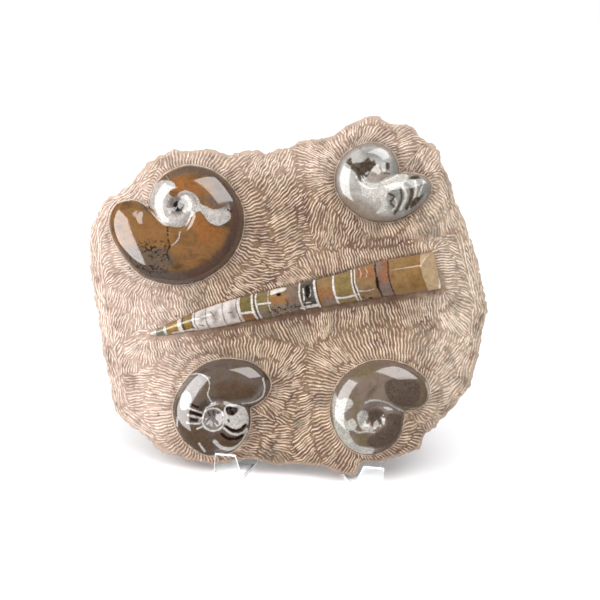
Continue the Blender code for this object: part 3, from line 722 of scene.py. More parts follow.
def markField(points, marks):
    # signed distance to a set of marks, positive inside them
    field = np.full(len(points), -30.0)
    for mark in marks:
        if mark[0] == "line":
            line = splineThrough(fromPhoto(mark[2:]), 4, False)
            field = np.maximum(field, mark[1] - lineDistance(points, line))
        else:
            edge = splineThrough(fromPhoto(mark[1:]), 3, True)
            field = np.maximum(field, outlineDistance(points, edge))
    return np.maximum(field, -6.0)


def domeHeight(points, shell, loop):
    # a polished dome that follows the shell's outline, with a sunken coil and the seam into it
    around = points - np.array(shell["centre"])
    depth = smoothDepth(points, loop)
    share = np.clip(depth / shell["shoulder"], 0.0, 1.0)
    height = shell["rim"] + shell["tilt"] * around[:, 1]
    height += shell["rise"] * np.sqrt(1.0 - (1.0 - share) ** 2)
    inner = np.clip(depth / 6.0, 0.0, 1.0)
    middle = np.linalg.norm(around, axis=1) / coil["radius"]
    height -= inner * coil["depth"] * np.exp(-(middle ** 2))
    height += 0.35 * rockNoise(points, 2.2, 12) * np.exp(-((middle / 1.1) ** 4))
    seam = splineThrough(shell["seam"], 4, False)
    beside = lineDistance(around, seam) / coil["seamWidth"]
    return height - inner * coil["seamDepth"] * np.exp(-(beside ** 2)), depth


def makeShell(name, shell):
    loop = loops[name]
    middle = np.array(shell["centre"]) + np.array(shell["fan"])
    angles, heading = rayFan(shellMesh["rays"])
    radius = polarLoop(loop, middle, angles)
    shares = 1 - (1 - np.linspace(0, 1, shellMesh["rings"] + 1)) ** 1.7
    flat = middle + heading[None] * (radius[None, :] * shares[:, None])[:, :, None]
    points = flat.reshape(-1, 2)
    height, depth = domeHeight(points, shell, loop)
    fields = {"rimDepth": depth, "ringShare": np.ones(len(points))}
    if "ringSide" in shell:
        toward = (points - middle) @ np.array(shell["ringSide"])
        distance = np.linalg.norm(points - middle, axis=1) + 0.1
        fields["ringShare"] = np.clip(0.75 + 1.6 * toward / distance, 0, 1)
    for kind, marks in shell["marks"].items():
        fields[kind] = markField(points, marks)
    dome = np.column_stack([points, height]).reshape(*flat.shape[:2], 3)
    edge = dome[-1]
    rows = [dome]
    for step in range(1, shellMesh["wallRings"] + 1):
        share = step / shellMesh["wallRings"]
        wall = edge.copy()
        wall[:, 2] = edge[:, 2] * (1 - share) + shellMesh["floor"] * share
        rows.append(wall[None])
    under = np.tile([*middle, shellMesh["floor"]], (len(edge), 1))
    rows.append(under[None])
    spots = np.vstack(rows)
    extra = spots.shape[0] - dome.shape[0]
    grids = {}
    for field, values in fields.items():
        grid = values.reshape(dome.shape[:2])
        grids[field] = np.vstack([grid, np.repeat(grid[-1:], extra, axis=0)])
    return wrappedGrid("polished_" + name, spots, grids)


def makeOrthoceras():
    tip, length, along, side = coneAxes()
    far = np.linspace(0, length, orthoceras["rows"])
    share = far / length
    stations = splineThrough(orthoceras["profile"], 6, False).T
    radius, shift = (np.interp(far, stations[0], stations[row]) for row in (1, 2))
    level = orthoceras["tipLevel"] + (orthoceras["endLevel"] - orthoceras["tipLevel"]) * share
    arc = np.linspace(0, math.pi, orthoceras["arcColumns"])
    across = np.concatenate([
        np.cos(arc),
        np.full(orthoceras["wallColumns"], -1.0),
        np.linspace(-1, 1, orthoceras["floorColumns"] + 2)[1:-1],
        np.full(orthoceras["wallColumns"], 1.0),
    ])
    lift = np.concatenate([np.sin(arc), np.zeros(len(across) - len(arc))])
    drop = np.concatenate([
        np.zeros(len(arc)),
        np.linspace(0, 1, orthoceras["wallColumns"] + 1)[1:],
        np.ones(orthoceras["floorColumns"]),
        np.linspace(1, 0, orthoceras["wallColumns"] + 1)[:-1],
    ])
    height = level[:, None] + radius[:, None] * lift
    facetStart = length - orthoceras["facetDepth"]
    facet = level + radius - orthoceras["facetSlope"] * np.maximum(far - facetStart, 0.0)
    height = np.minimum(height, np.maximum(facet, level)[:, None])
    height = height * (1 - drop) + orthoceras["floor"] * drop
    sideways = radius[:, None] * across + shift[:, None]
    spots = np.empty((len(far), len(across), 3))
    spots[:, :, :2] = tip + far[:, None, None] * along + sideways[:, :, None] * side
    spots[:, :, 2] = height
    ends = []
    for section in (spots[0], spots[-1]):
        ends.append(np.tile(section.mean(axis=0), (len(across), 1))[None])
    spots = np.vstack([ends[0], spots, ends[1]])
    points = spots[:, :, :2].reshape(-1, 2)
    # along the shell in the photograph's pixels across, with the walls' bow taken out
    cosine = along[0]
    reach = (points - tip) @ along
    off = (points - tip) @ side
    half, middle = (np.interp(reach, stations[0], stations[row]) for row in (1, 2))
    off = off - middle
    bowed = reach - orthoceras["bow"] * np.clip(off / half, -1, 1) ** 2 * half / 14.0
    bowed = bowed - middle * along[1] / along[0]
    bowed = bowed + 0.35 * rockNoise(points, 5.0, 77)
    tipPixel = photo["middle"] + tip[0] / photo["fossilScale"]
    pixel = tipPixel + bowed * cosine / photo["fossilScale"]
    fields = {"pixelAlong": pixel}
    for kind, marks in orthoceras["marks"].items():
        fields[kind] = markField(points, marks)
    pixelSize = photo["fossilScale"]
    for place, halfWidth in orthoceras["walls"]:
        wall = halfWidth - np.abs(pixel - place) * pixelSize
        fields["pale"] = np.maximum(fields["pale"], wall)
    for place, halfWidth in orthoceras["threads"]:
        thread = halfWidth - np.abs(pixel - place) * pixelSize
        fields["dark"] = np.maximum(fields["dark"], thread)
    grids = {field: values.reshape(spots.shape[:2]) for field, values in fields.items()}
    piece = wrappedGrid("polished_orthoceras", spots, grids)
    bpy.ops.object.shade_smooth_by_angle(angle=math.radians(50))
    return piece


# Tool strokes: ridges that stand between the chisel's cuts, traced through a field of directions

strokes = {
    "spacing": 2.05,
    "seedGap": 1.5,  # a new ridge starts only this far from the others
    "stopGap": 1.08,  # and ends when it comes this near
    "step": 0.8,
    "overrun": 3.6,  # a stroke may run on this far into the next patch
    "shortest": 3.2,
    "lengths": (14.0, 60.0),
    "halfWidth": 0.84,
    "height": 0.75,
    "band": 24.0,  # the tool's reach: cuts change direction from band to band
    "kinkEvery": 7.6,
    "kinkDegrees": 24.0,
    "wanderDegrees": 30.0,
    "bandDegrees": 15.0,
    "bandWander": 22,
    "aboveBias": 12.0,  # above the orthoceras the other fans win by this much
    "along": (15.0, 7.0),  # near the plate's side edges the strokes turn to run along them
    "alongSides": (98, 14),
    "seed": 8,
    "spareSeeds": ((-160, -133), (145, 140), 9000),  # corners and number of the last tries
    "edgeMargin": 0.35,
    "fossilMargin": -0.2,
    "reach": {  # how far each fossil's own fan of strokes wins over the others
        "goniatite_upper_left": 18.0, "goniatite_upper_right": 0.0,
        "goniatite_lower_left": 5.0, "goniatite_lower_right": 4.0, "orthoceras": 0.0,
    },
    "plainSpots": [  # bare patches: middle in mm and radius
        (-22, 49, 2.6), (-32, 42, 2.4), (-14, 97, 2.5), (34, 12, 2.2), (97, -27, 2.4),
        (112, -38, 2.6), (4, -16, 2.0), (-128, -18, 2.2), (-118, -26.5, 2.4), (-124, -28, 1.7),
    ],
}


def strokeField():
    us = np.arange(-166, 151, 1.0)
    vs = np.arange(-140, 146, 1.0)
    grid = np.stack(np.meshgrid(us, vs, indexing="ij"), axis=-1)
    points = grid.reshape(-1, 2)
    shape = grid.shape[:2]
    names = list(loops)
    outside = {}
    for name in names:
        outside[name] = -outlineDistance(points, loops[name]).reshape(shape)
    ranks = []
    tip = np.array(orthoceras["tip"])
    along = np.array(orthoceras["end"]) - tip
    above = ((grid - tip) @ np.array((-along[1], along[0])) > 0)
    for name in names:
        rank = outside[name] - strokes["reach"][name]
        if name == "orthoceras":
            rank = rank + np.where(above, strokes["aboveBias"], 0.0)
        ranks.append(rank)
    owner = np.argmin(ranks, axis=0)
    distance = np.choose(owner, [outside[name] for name in names])
    slopeU = np.choose(owner, [np.gradient(outside[name])[0] for name in names])
    slopeV = np.choose(owner, [np.gradient(outside[name])[1] for name in names])
    angle = np.arctan2(slopeV, slopeU)
    wander = rockNoise(points, 42.0, 21).reshape(shape)
    shifted = distance + strokes["bandWander"] * rockNoise(points, 34.0, 22).reshape(shape)
    band = np.floor(shifted / strokes["band"])
    angle = angle + math.radians(strokes["wanderDegrees"]) * wander
    turn = math.radians(strokes["bandDegrees"]) * np.where(band % 2 == 1, 1.0, -0.4)
    angle = angle + turn * np.sign(wander + 0.2)
    inside = outlineDistance(points, slabLoop).reshape(shape)
    edgeU, edgeV = np.gradient(inside)
    (near, fade), (sides, sideFade) = strokes["along"], strokes["alongSides"]
    border = np.clip((near - inside) / fade, 0, 1)
    border = border * np.clip((np.abs(grid[:, :, 0]) - sides) / sideFade, 0, 1)
    along = np.arctan2(edgeU, -edgeV)
    double = np.stack([np.cos(2 * angle), np.sin(2 * angle)]) * (1 - border)
    double = double + np.stack([np.cos(2 * along), np.sin(2 * along)]) * border
    angle = np.arctan2(double[1], double[0]) / 2
    shift = 3 * rockNoise(points, 20.0, 23).reshape(shape)
    phase = fullTurn * distance / strokes["kinkEvery"] + shift
    swing = 0.35 + 0.65 * np.abs(rockNoise(points, 26.0, 24).reshape(shape))
    angle = angle + math.radians(strokes["kinkDegrees"]) * swing * np.sin(phase)
    free = inside > strokes["edgeMargin"]
    for name in names:
        free &= outside[name] > strokes["fossilMargin"]
    lowSide = (outside["orthoceras"] < 3.4) & ~above
    free &= ~lowSide
    for u, v, radius in strokes["plainSpots"]:
        free &= np.hypot(grid[:, :, 0] - u, grid[:, :, 1] - v) > radius
    zone = owner * 20 + band.astype(int)
    return us[0], vs[0], angle.tolist(), free.tolist(), zone.tolist()


def traceStrokes():
    firstU, firstV, angle, free, zone = strokeField()
    random = np.random.default_rng(strokes["seed"])
    cell = strokes["spacing"]
    taken = {}

    def nearest(u, v):
        i, j = int(u // cell), int(v // cell)
        best = 99.0
        for a in (i - 1, i, i + 1):
            for b in (j - 1, j, j + 1):
                for x, y in taken.get((a, b), ()):
                    gap = (x - u) ** 2 + (y - v) ** 2
                    if gap < best:
                        best = gap
        return math.sqrt(best)

    def cellOf(u, v):
        return int(round(u - firstU)), int(round(v - firstV))

    def march(u, v, headingU, headingV, home, longest):
        walked = []
        travelled = 0.0
        beyond = random.uniform(0, strokes["overrun"])
        while travelled < longest:
            i, j = cellOf(u, v)
            if not (0 <= i < len(angle) and 0 <= j < len(angle[0])):
                break
            if zone[i][j] != home:
                beyond -= strokes["step"]
            if not free[i][j] or beyond < 0:
                break
            if walked and nearest(u, v) < strokes["stopGap"]:
                break
            walked.append((u, v))
            stepU, stepV = math.cos(angle[i][j]), math.sin(angle[i][j])
            if stepU * headingU + stepV * headingV < 0:
                stepU, stepV = -stepU, -stepV
            headingU, headingV = stepU, stepV
            u += stepU * strokes["step"]
            v += stepV * strokes["step"]
            travelled += strokes["step"]
        return walked, (headingU, headingV)

    def grow(u, v):
        i, j = cellOf(u, v)
        if not (0 <= i < len(angle) and 0 <= j < len(angle[0])) or not free[i][j]:
            return None
        if nearest(u, v) < strokes["seedGap"]:
            return None
        longest = random.uniform(*strokes["lengths"])
        stepU, stepV = math.cos(angle[i][j]), math.sin(angle[i][j])
        ahead, headingAhead = march(u, v, stepU, stepV, zone[i][j], longest)
        back, headingBack = march(u, v, -stepU, -stepV, zone[i][j], longest - len(ahead) * 0.8)
        line = back[::-1] + ahead[1:]
        if len(line) * strokes["step"] < strokes["shortest"]:
            return None
        for x, y in line:
            taken.setdefault((int(x // cell), int(y // cell)), []).append((x, y))
        waiting.append((line, headingAhead, headingBack))
        lines.append(np.array(line))
        return line

    lines = []
    waiting = []
    for loop in loops.values():
        ring = resample(np.vstack([loop, loop[:1]]), strokes["spacing"])
        normal = loopNormals(ring)
        for spot in ring + normal * (strokes["fossilMargin"] + 0.9):
            grow(*spot)
    place = 0
    low, high, count = strokes["spareSeeds"]
    spares = random.uniform(low, high, (count, 2))
    spare = 0
    while place < len(waiting) or spare < len(spares):
        if place < len(waiting):
            line, headingAhead, headingBack = waiting[place]
            place += 1
            (u, v), (a, b) = line[-1], headingAhead
            grow(u + 1.5 * a, v + 1.5 * b)
            (u, v), (a, b) = line[0], headingBack
            grow(u + 1.5 * a, v + 1.5 * b)
            for index in range(1, len(line) - 1, 3):
                (x1, y1), (x2, y2) = line[index - 1], line[index + 1]
                size = math.hypot(x2 - x1, y2 - y1) or 1.0
                a, b = -(y2 - y1) / size * cell, (x2 - x1) / size * cell
                u, v = line[index]
                grow(u + a, v + b)
                grow(u - a, v - b)
        else:
            grow(*spares[spare])
            spare += 1
    return lines


def resample(line, spacing):
    steps = np.hypot(*np.diff(line, axis=0).T)
    travelled = np.concatenate([[0], np.cumsum(steps)])
    count = max(2, int(round(travelled[-1] / spacing)) + 1)
    places = np.linspace(0, travelled[-1], count)
    return np.stack([np.interp(places, travelled, line[:, k]) for k in (0, 1)], axis=1)


def loopNormals(ring):
    # outward normals of an open ring that runs round an outline
    tangent = np.gradient(ring, axis=0)
    tangent /= np.linalg.norm(tangent, axis=1)[:, None] + 1e-9
    area = np.sum(ring[:-1, 0] * ring[1:, 1] - ring[1:, 0] * ring[:-1, 1])
    normal = np.stack([tangent[:, 1], -tangent[:, 0]], axis=1)
    return normal if area > 0 else -normal


def ridgeMesh(name, lines, halfWidth, height, closed, seed):
    # one mesh of many low ridges: five points across each, sunk at both sides into the ground
    random = np.random.default_rng(seed)
    acrossShape = np.array([-1.0, -0.62, 0.0, 0.62, 1.0])
    liftShape = np.array([-0.6, 0.66, 1.0, 0.66, -0.6])
    spots, faces, crest, tone = [], [], [], []
    start = 0
    for line in lines:
        line = resample(line, 1.25)
        tangent = np.gradient(line, axis=0)
        tangent /= np.linalg.norm(tangent, axis=1)[:, None] + 1e-9
        normal = np.stack([-tangent[:, 1], tangent[:, 0]], axis=1)
        count = len(line)
        if closed:
            taper = np.ones(count)
        else:
            end = np.minimum(np.arange(count), np.arange(count)[::-1])
            taper = np.where(end == 0, 0.35, np.where(end == 1, 0.9, 1.0))
        uneven = 1 + 0.10 * random.uniform(-1, 1, count)
        wide = halfWidth * random.uniform(0.86, 1.12) * taper * uneven
        tall = height * random.uniform(0.75, 1.15) * taper
        flat = line[:, None] + normal[:, None] * (wide[:, None] * acrossShape)[:, :, None]
        lift = tall[:, None] * liftShape
        spots.append(np.concatenate([flat, lift[:, :, None]], axis=2).reshape(-1, 3))
        crest.append(np.tile(np.clip(liftShape, 0, 1), count))
        tone.append(np.full(count * 5, random.uniform(0, 1)))
        for k in range(count - 1 if not closed else count):
            here = start + 5 * k
            after = start + 5 * ((k + 1) % count)
            for a in range(5):
                b = (a + 1) % 5
                faces.append((here + a, here + b, after + b, after + a))
        if not closed:
            faces.append(tuple(start + a for a in range(5)))
            faces.append(tuple(start + 5 * (count - 1) + a for a in range(5)))
        start += 5 * count
    spots = np.vstack(spots)
    spots[:, 2] += groundHeight(spots[:, :2])
    mesh = bpy.data.meshes.new(name)
    mesh.from_pydata(toWorld(spots).tolist(), [], faces)
    setField(mesh, "crest", np.concatenate(crest))
    setField(mesh, "tone", np.concatenate(tone))
    piece = addPiece(name, mesh)
    cleanMesh()
    bpy.ops.object.shade_smooth()
    return piece


def makeRims():
    # the tool left a narrow smooth rim of stone around every fossil
    rings = []
    for name, loop in loops.items():
        if name == "orthoceras":
            continue
        ring = resample(np.vstack([loop, loop[:1]]), 1.0)
        rings.append((ring + loopNormals(ring) * 0.75)[:-1])
    return ridgeMesh("fossil_rims", rings, 0.7, 0.45, True, 31)


sheet = {"edgeRounding": 0.35, "lipTop": 20.0, "bend": 5.2}  # mm


def makeEasel():
    # the CAD sheet as it is, its loose triangles joined and its cut edges rounded and polished
    piece = addPiece("acrylic_easel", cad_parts["easel"].data.copy())
    cleanMesh(joined=0.00001, flattened=math.radians(0.5))
    bevel = piece.modifiers.new("polished edges", "BEVEL")
    bevel.width = sheet["edgeRounding"] * mm
    bevel.segments = 2
    bevel.limit_method = "ANGLE"
    bevel.angle_limit = math.radians(40)
    bpy.ops.object.modifier_apply(modifier=bevel.name)
    bpy.ops.object.shade_smooth_by_angle(angle=math.radians(30))
    piece.visible_shadow = False  # light passes through the clear sheet
    return piece


# Materials

def toLinear(hexColour):
    channels = [int(hexColour[k:k + 2], 16) / 255 for k in (1, 3, 5)]
    return (*[c / 12.92 if c <= 0.04045 else ((c + 0.055) / 1.055) ** 2.4 for c in channels], 1.0)


def addNode(tree, kind, settings=None, links=None):
    node = tree.nodes.new(kind)
    for key, value in (settings or {}).items():
        if key == "stops":  # a colour ramp's places and colours
            elements = node.color_ramp.elements
            while len(elements) < len(value):
                elements.new(0.5)
            for element, (place, colour) in zip(elements, value):
                element.position = place
                element.color = toLinear(colour)
        elif key == "interpolation" and kind == "ShaderNodeValToRGB":
            node.color_ramp.interpolation = value
        elif isinstance(key, str) and hasattr(node, key):
            setattr(node, key, value)
        else:
            node.inputs[key].default_value = value
    for key, source in (links or {}).items():
        tree.links.new(source, node.inputs[key])
    return node


def newMaterial(name):
    material = bpy.data.materials.new(name)
    material.use_nodes = True
    material.node_tree.nodes.clear()
    return material, material.node_tree


def finishMaterial(tree, shader):
    addNode(tree, "ShaderNodeOutputMaterial", {}, {"Surface": shader.outputs[0]})


def plateSpot(tree):
    # object coordinates turned into the plate's own millimetres
    spot = addNode(tree, "ShaderNodeTexCoord")
    turn = addNode(tree, "ShaderNodeMapping", {
        "vector_type": "TEXTURE", "Location": platePlace.translation,
        "Rotation": platePlace.to_euler(), "Scale": (mm, mm, mm),
    }, {"Vector": spot.outputs["Object"]})
    return turn.outputs[0]


limestone = {
    "ground": [(0.30, "#4C3A35"), (0.43, "#6A5142"), (0.57, "#7E654F"), (0.72, "#57433E")],
    "groundSize": 26.0,  # mm
    "crest": "#DAC4AE",
    "zones": {  # axis, wander of the zone's edge in mm, where it begins and is full, and colours
        "left": {"axis": 0, "wander": 70.0, "begins": -20.0, "full": -90.0, "most": 0.85,
                 "ground": "#B59D8F", "crest": "#E8D8CC"},
        "right": {"axis": 0, "wander": 70.0, "begins": 112.0, "full": 148.0, "most": 0.85,
                  "ground": "#A5917E", "crest": "#DCCFC1"},
        "top": {"axis": 1, "wander": 40.0, "begins": 98.0, "full": 122.0, "most": 0.8,
                "ground": "#9C8575", "crest": "#E3D2C4"},
    },
    # painted shade in the creases beside the fossils, and a paler band on the slab's sides and
    # just inside its outline: from, to in mm, how much, and colour
    "edges": {"besideFossil": (0.2, 1.0, 0.25, "#6B5142"), "rim": (0.5, 3.0, 0.6, "#B9A493")},
    "stain": "#7A4A36",
    "blotch": "#64584A",
    "blotchSize": 14.0,
    "speck": "#3C3B30",
    "grainSize": 0.7,
}


def stoneColour(tree, spot, crest):
    # brown in the middle, pinkish and paler to the left, greenish cream to the right
    broad = addNode(tree, "ShaderNodeTexNoise", {
        "Scale": 1 / limestone["groundSize"], "Detail": 6.0, "Roughness": 0.62}, {"Vector": spot})
    ground = addNode(tree, "ShaderNodeValToRGB", {"stops": limestone["ground"]},
                     {0: broad.outputs[0]})
    parts = addNode(tree, "ShaderNodeSeparateXYZ", {}, {0: spot})
    shares = {}
    below = ground.outputs[0]
    for name, zone in limestone["zones"].items():
        place = addNode(tree, "ShaderNodeMath", {"operation": "MULTIPLY_ADD", 1: zone["wander"]},
                        {0: broad.outputs[0], 2: parts.outputs[zone["axis"]]})
        shares[name] = addNode(tree, "ShaderNodeMapRange", {
            "interpolation_type": "SMOOTHSTEP", 1: zone["begins"], 2: zone["full"], 3: 0.0,
            4: zone["most"]}, {0: place.outputs[0]}).outputs[0]
        colour = addNode(tree, "ShaderNodeMix", {"data_type": "RGBA", 7: toLinear(zone["ground"])},
                         {0: shares[name], 6: below})
        below = colour.outputs[2]
    if crest:
        under = {}  # the first zone lies on the crests' own colour
        for name, zone in limestone["zones"].items():
            pale = addNode(tree, "ShaderNodeMix", {
                "data_type": "RGBA", 6: toLinear(limestone["crest"]), 7: toLinear(zone["crest"])},
                {0: shares[name], **under})
            under = {6: pale.outputs[2]}
        height = addNode(tree, "ShaderNodeAttribute", {"attribute_name": "crest"})
        tone = addNode(tree, "ShaderNodeAttribute", {"attribute_name": "tone"})
        share = addNode(tree, "ShaderNodeMapRange", {1: 0.0, 2: 1.0, 3: 0.35, 4: 0.9},
                        {0: height.outputs["Fac"]})
        share = addNode(tree, "ShaderNodeMath", {"operation": "MULTIPLY_ADD", 1: -0.22},
                        {0: tone.outputs["Fac"], 2: share.outputs[0]})
        worn = addNode(tree, "ShaderNodeTexNoise", {
            "Scale": 1 / 7.0, "Detail": 6.0, "Roughness": 0.72}, {"Vector": spot})
        wear = addNode(tree, "ShaderNodeMapRange", {1: 0.33, 2: 0.62, 3: 0.3, 4: 1.12},
                       {0: worn.outputs[0]})
        share = addNode(tree, "ShaderNodeMath", {"operation": "MULTIPLY", "use_clamp": True},
                        {0: share.outputs[0], 1: wear.outputs[0]})
        colour = addNode(tree, "ShaderNodeMix", {"data_type": "RGBA"},
                         {0: share.outputs[0], 6: colour.outputs[2], 7: pale.outputs[2]})
    stain = addNode(tree, "ShaderNodeTexNoise", {
        "Scale": 1 / 11.0, "Detail": 4.0, "Roughness": 0.7}, {"Vector": spot})
    stained = addNode(tree, "ShaderNodeMapRange", {1: 0.43, 2: 0.31, 3: 0.0, 4: 0.5},
                      {0: stain.outputs[0]})
    colour = addNode(tree, "ShaderNodeMix", {"data_type": "RGBA", 7: toLinear(limestone["stain"])},
                     {0: stained.outputs[0], 6: colour.outputs[2]})
    blotch = addNode(tree, "ShaderNodeTexNoise", {
        "Scale": 1 / limestone["blotchSize"], "Detail": 5.0, "Roughness": 0.75}, {"Vector": spot})
    middle = addNode(tree, "ShaderNodeMapRange", {1: 0.0, 2: 0.85, 3: 0.62, 4: 0.2},
                     {0: shares["left"]})
    blotched = addNode(tree, "ShaderNodeMapRange", {1: 0.535, 2: 0.62, 3: 0.0},
                       {0: blotch.outputs[0], 4: middle.outputs[0]})
    colour = addNode(tree, "ShaderNodeMix", {
        "data_type": "RGBA", 7: toLinear(limestone["blotch"])},
        {0: blotched.outputs[0], 6: colour.outputs[2]})
    mottle = addNode(tree, "ShaderNodeTexNoise", {
        "Scale": 1 / 3.4, "Detail": 5.0, "Roughness": 0.75}, {"Vector": spot})
    mottled = addNode(tree, "ShaderNodeMapRange", {1: 0.3, 2: 0.7, 3: 0.68, 4: 1.3},
                      {0: mottle.outputs[0]})
    cloudy = addNode(tree, "ShaderNodeMapRange", {1: 0.36, 2: 0.62, 3: 0.84, 4: 1.1},
                     {0: stain.outputs[0]})
    mottled = addNode(tree, "ShaderNodeMath", {"operation": "MULTIPLY"},
                      {0: mottled.outputs[0], 1: cloudy.outputs[0]})
    colour = addNode(tree, "ShaderNodeMix", {
        "data_type": "RGBA", "blend_type": "MULTIPLY", 0: 1.0},
        {6: colour.outputs[2], 7: mottled.outputs[0]})
    speck = addNode(tree, "ShaderNodeTexNoise", {
        "Scale": 1 / 2.6, "Detail": 3.0, "Roughness": 0.6}, {"Vector": spot})
    specked = addNode(tree, "ShaderNodeMapRange", {1: 0.56, 2: 0.66, 3: 0.0, 4: 0.8},
                      {0: speck.outputs[0]})
    cluster = addNode(tree, "ShaderNodeMapRange", {1: 0.55, 2: 0.64}, {0: stain.outputs[0]})
    specked = addNode(tree, "ShaderNodeMath", {"operation": "MULTIPLY"},
                      {0: specked.outputs[0], 1: cluster.outputs[0]})
    colour = addNode(tree, "ShaderNodeMix", {"data_type": "RGBA", 7: toLinear(limestone["speck"])},
                     {0: specked.outputs[0], 6: colour.outputs[2]})
    return colour.outputs[2]


def stoneMaterial(name, crest):
    # limestone cut with a pneumatic point: chalky and matt, with a sugary grain
    material, tree = newMaterial(name)
    spot = plateSpot(tree)
    colour = stoneColour(tree, spot, crest)
    if not crest:
        # painted shade darkens the stone beside the fossils; the slab's sides and a band inside
        # its outline are paler
        for field, (near, far, most, tone) in limestone["edges"].items():
            beside = addNode(tree, "ShaderNodeAttribute", {"attribute_name": field})
            share = addNode(tree, "ShaderNodeMapRange", {1: near, 2: far, 3: most, 4: 0.0},
                            {0: beside.outputs["Fac"]})
            covered = addNode(tree, "ShaderNodeMix", {"data_type": "RGBA", 7: toLinear(tone)},
                              {0: share.outputs[0], 6: colour})
            colour = covered.outputs[2]
    grain = addNode(tree, "ShaderNodeTexNoise", {
        "Scale": 1 / limestone["grainSize"], "Detail": 4.0, "Roughness": 0.6}, {"Vector": spot})
    bump = addNode(tree, "ShaderNodeBump", {"Strength": 0.5, "Distance": 0.0002},
                   {"Height": grain.outputs[0]})
    shader = addNode(tree, "ShaderNodeBsdfPrincipled", {
        "Roughness": 0.85, "IOR": 1.5, "Specular IOR Level": 0.25},
        {"Base Color": colour, "Normal": bump.outputs[0]})
    finishMaterial(tree, shader)
    return material


def edgeOf(tree, spot, field, soft, ragged, size):
    # where a mark's field is above zero, with a ragged edge
    mark = addNode(tree, "ShaderNodeAttribute", {"attribute_name": field})
    noise = addNode(tree, "ShaderNodeTexNoise", {"Scale": 1 / size, "Detail": 3.0},
                    {"Vector": spot})
    moved = addNode(tree, "ShaderNodeMath", {"operation": "MULTIPLY_ADD", 1: ragged},
                    {0: noise.outputs[0], 2: mark.outputs["Fac"]})
    share = addNode(tree, "ShaderNodeMapRange", {
        "interpolation_type": "SMOOTHSTEP", 1: ragged * 0.5 - soft, 2: ragged * 0.5 + soft},
        {0: moved.outputs[0]})
    return share.outputs[0]


markEdges = {  # softness, raggedness and its size in mm, and how much covers what is below
    "grey": (2.2, 3.4, 2.4, 0.9), "warm": (2.4, 3.8, 2.8, 0.85),
    "pale": (0.42, 1.3, 1.3, 1.1), "dark": (0.6, 1.5, 1.3, 1.15), "specks": (2.0, 4.0, 3.0, 0.9),
}
calciteSeam = {"colour": "#3E3028", "width": 0.55, "most": 0.55}


def addMarks(tree, spot, colour, finish):
    for field in finish["order"]:
        soft, ragged, size, most = markEdges[field]
        soft *= finish.get("soften", 1.0)
        if field == "pale":
            # the calcite is bounded by a thin brown seam
            seam = edgeOf(tree, spot, field, soft + calciteSeam["width"], ragged, size)
            thin = addNode(tree, "ShaderNodeMath", {
                "operation": "MULTIPLY", 1: calciteSeam["most"]}, {0: seam})
            bounded = addNode(tree, "ShaderNodeMix", {
                "data_type": "RGBA", 7: toLinear(calciteSeam["colour"])},
                {0: thin.outputs[0], 6: colour})
            colour = bounded.outputs[2]
        share = edgeOf(tree, spot, field, soft, ragged, size)
        cloud = addNode(tree, "ShaderNodeTexNoise", {"Scale": 1 / 3.0, "Detail": 4.0},
                        {"Vector": spot})
        if field == "specks":
            # only a scatter of small crystals shows inside the mark
            cloud.inputs["Scale"].default_value = 1 / 2.0
            limits = {1: 0.50, 2: 0.60, 3: 0.0, 4: most}
        else:
            limits = {1: 0.25, 2: 0.75, 3: most - 0.35, 4: most}
        shade = addNode(tree, "ShaderNodeMapRange", limits, {0: cloud.outputs[0]})
        both = addNode(tree, "ShaderNodeMath", {"operation": "MULTIPLY"},
                       {0: share, 1: shade.outputs[0]})
        crystal = addNode(tree, "ShaderNodeTexNoise", {
            "Scale": 1 / 2.6, "Detail": 6.0, "Roughness": 0.72, "Distortion": 1.8},
            {"Vector": spot})
        bright = addNode(tree, "ShaderNodeMapRange", {1: 0.34, 2: 0.62, 3: 0.5, 4: 1.14},
                         {0: crystal.outputs[0]})
        own = addNode(tree, "ShaderNodeMix", {
            "data_type": "RGBA", "blend_type": "MULTIPLY", 0: 1.0, 6: toLinear(finish[field])},
            {7: bright.outputs[0]})
        mixed = addNode(tree, "ShaderNodeMix", {"data_type": "RGBA"},
                        {0: both.outputs[0], 6: colour, 7: own.outputs[2]})
        colour = mixed.outputs[2]
    return colour


def polishedShader(tree, colour, spot):
    # calcite polished wet with fine grit: a hard, clear gloss, a little duller in places
    haze = addNode(tree, "ShaderNodeTexNoise", {"Scale": 1 / 4.0, "Detail": 3.0}, {"Vector": spot})
    rough = addNode(tree, "ShaderNodeMapRange", {1: 0.3, 2: 0.7, 3: 0.05, 4: 0.12},
                    {0: haze.outputs[0]})
    shader = addNode(tree, "ShaderNodeBsdfPrincipled", {"IOR": 1.56},
                     {"Base Color": colour, "Roughness": rough.outputs[0]})
    return shader


shellGrains = {  # size in mm, detail, roughness, and where in the noise they begin and are full
    "dark": (1.1, 4.0, 0.7, 0.5, 0.75), "fleck": (1.6, 5.0, 0.8, 0.58, 0.72),
}


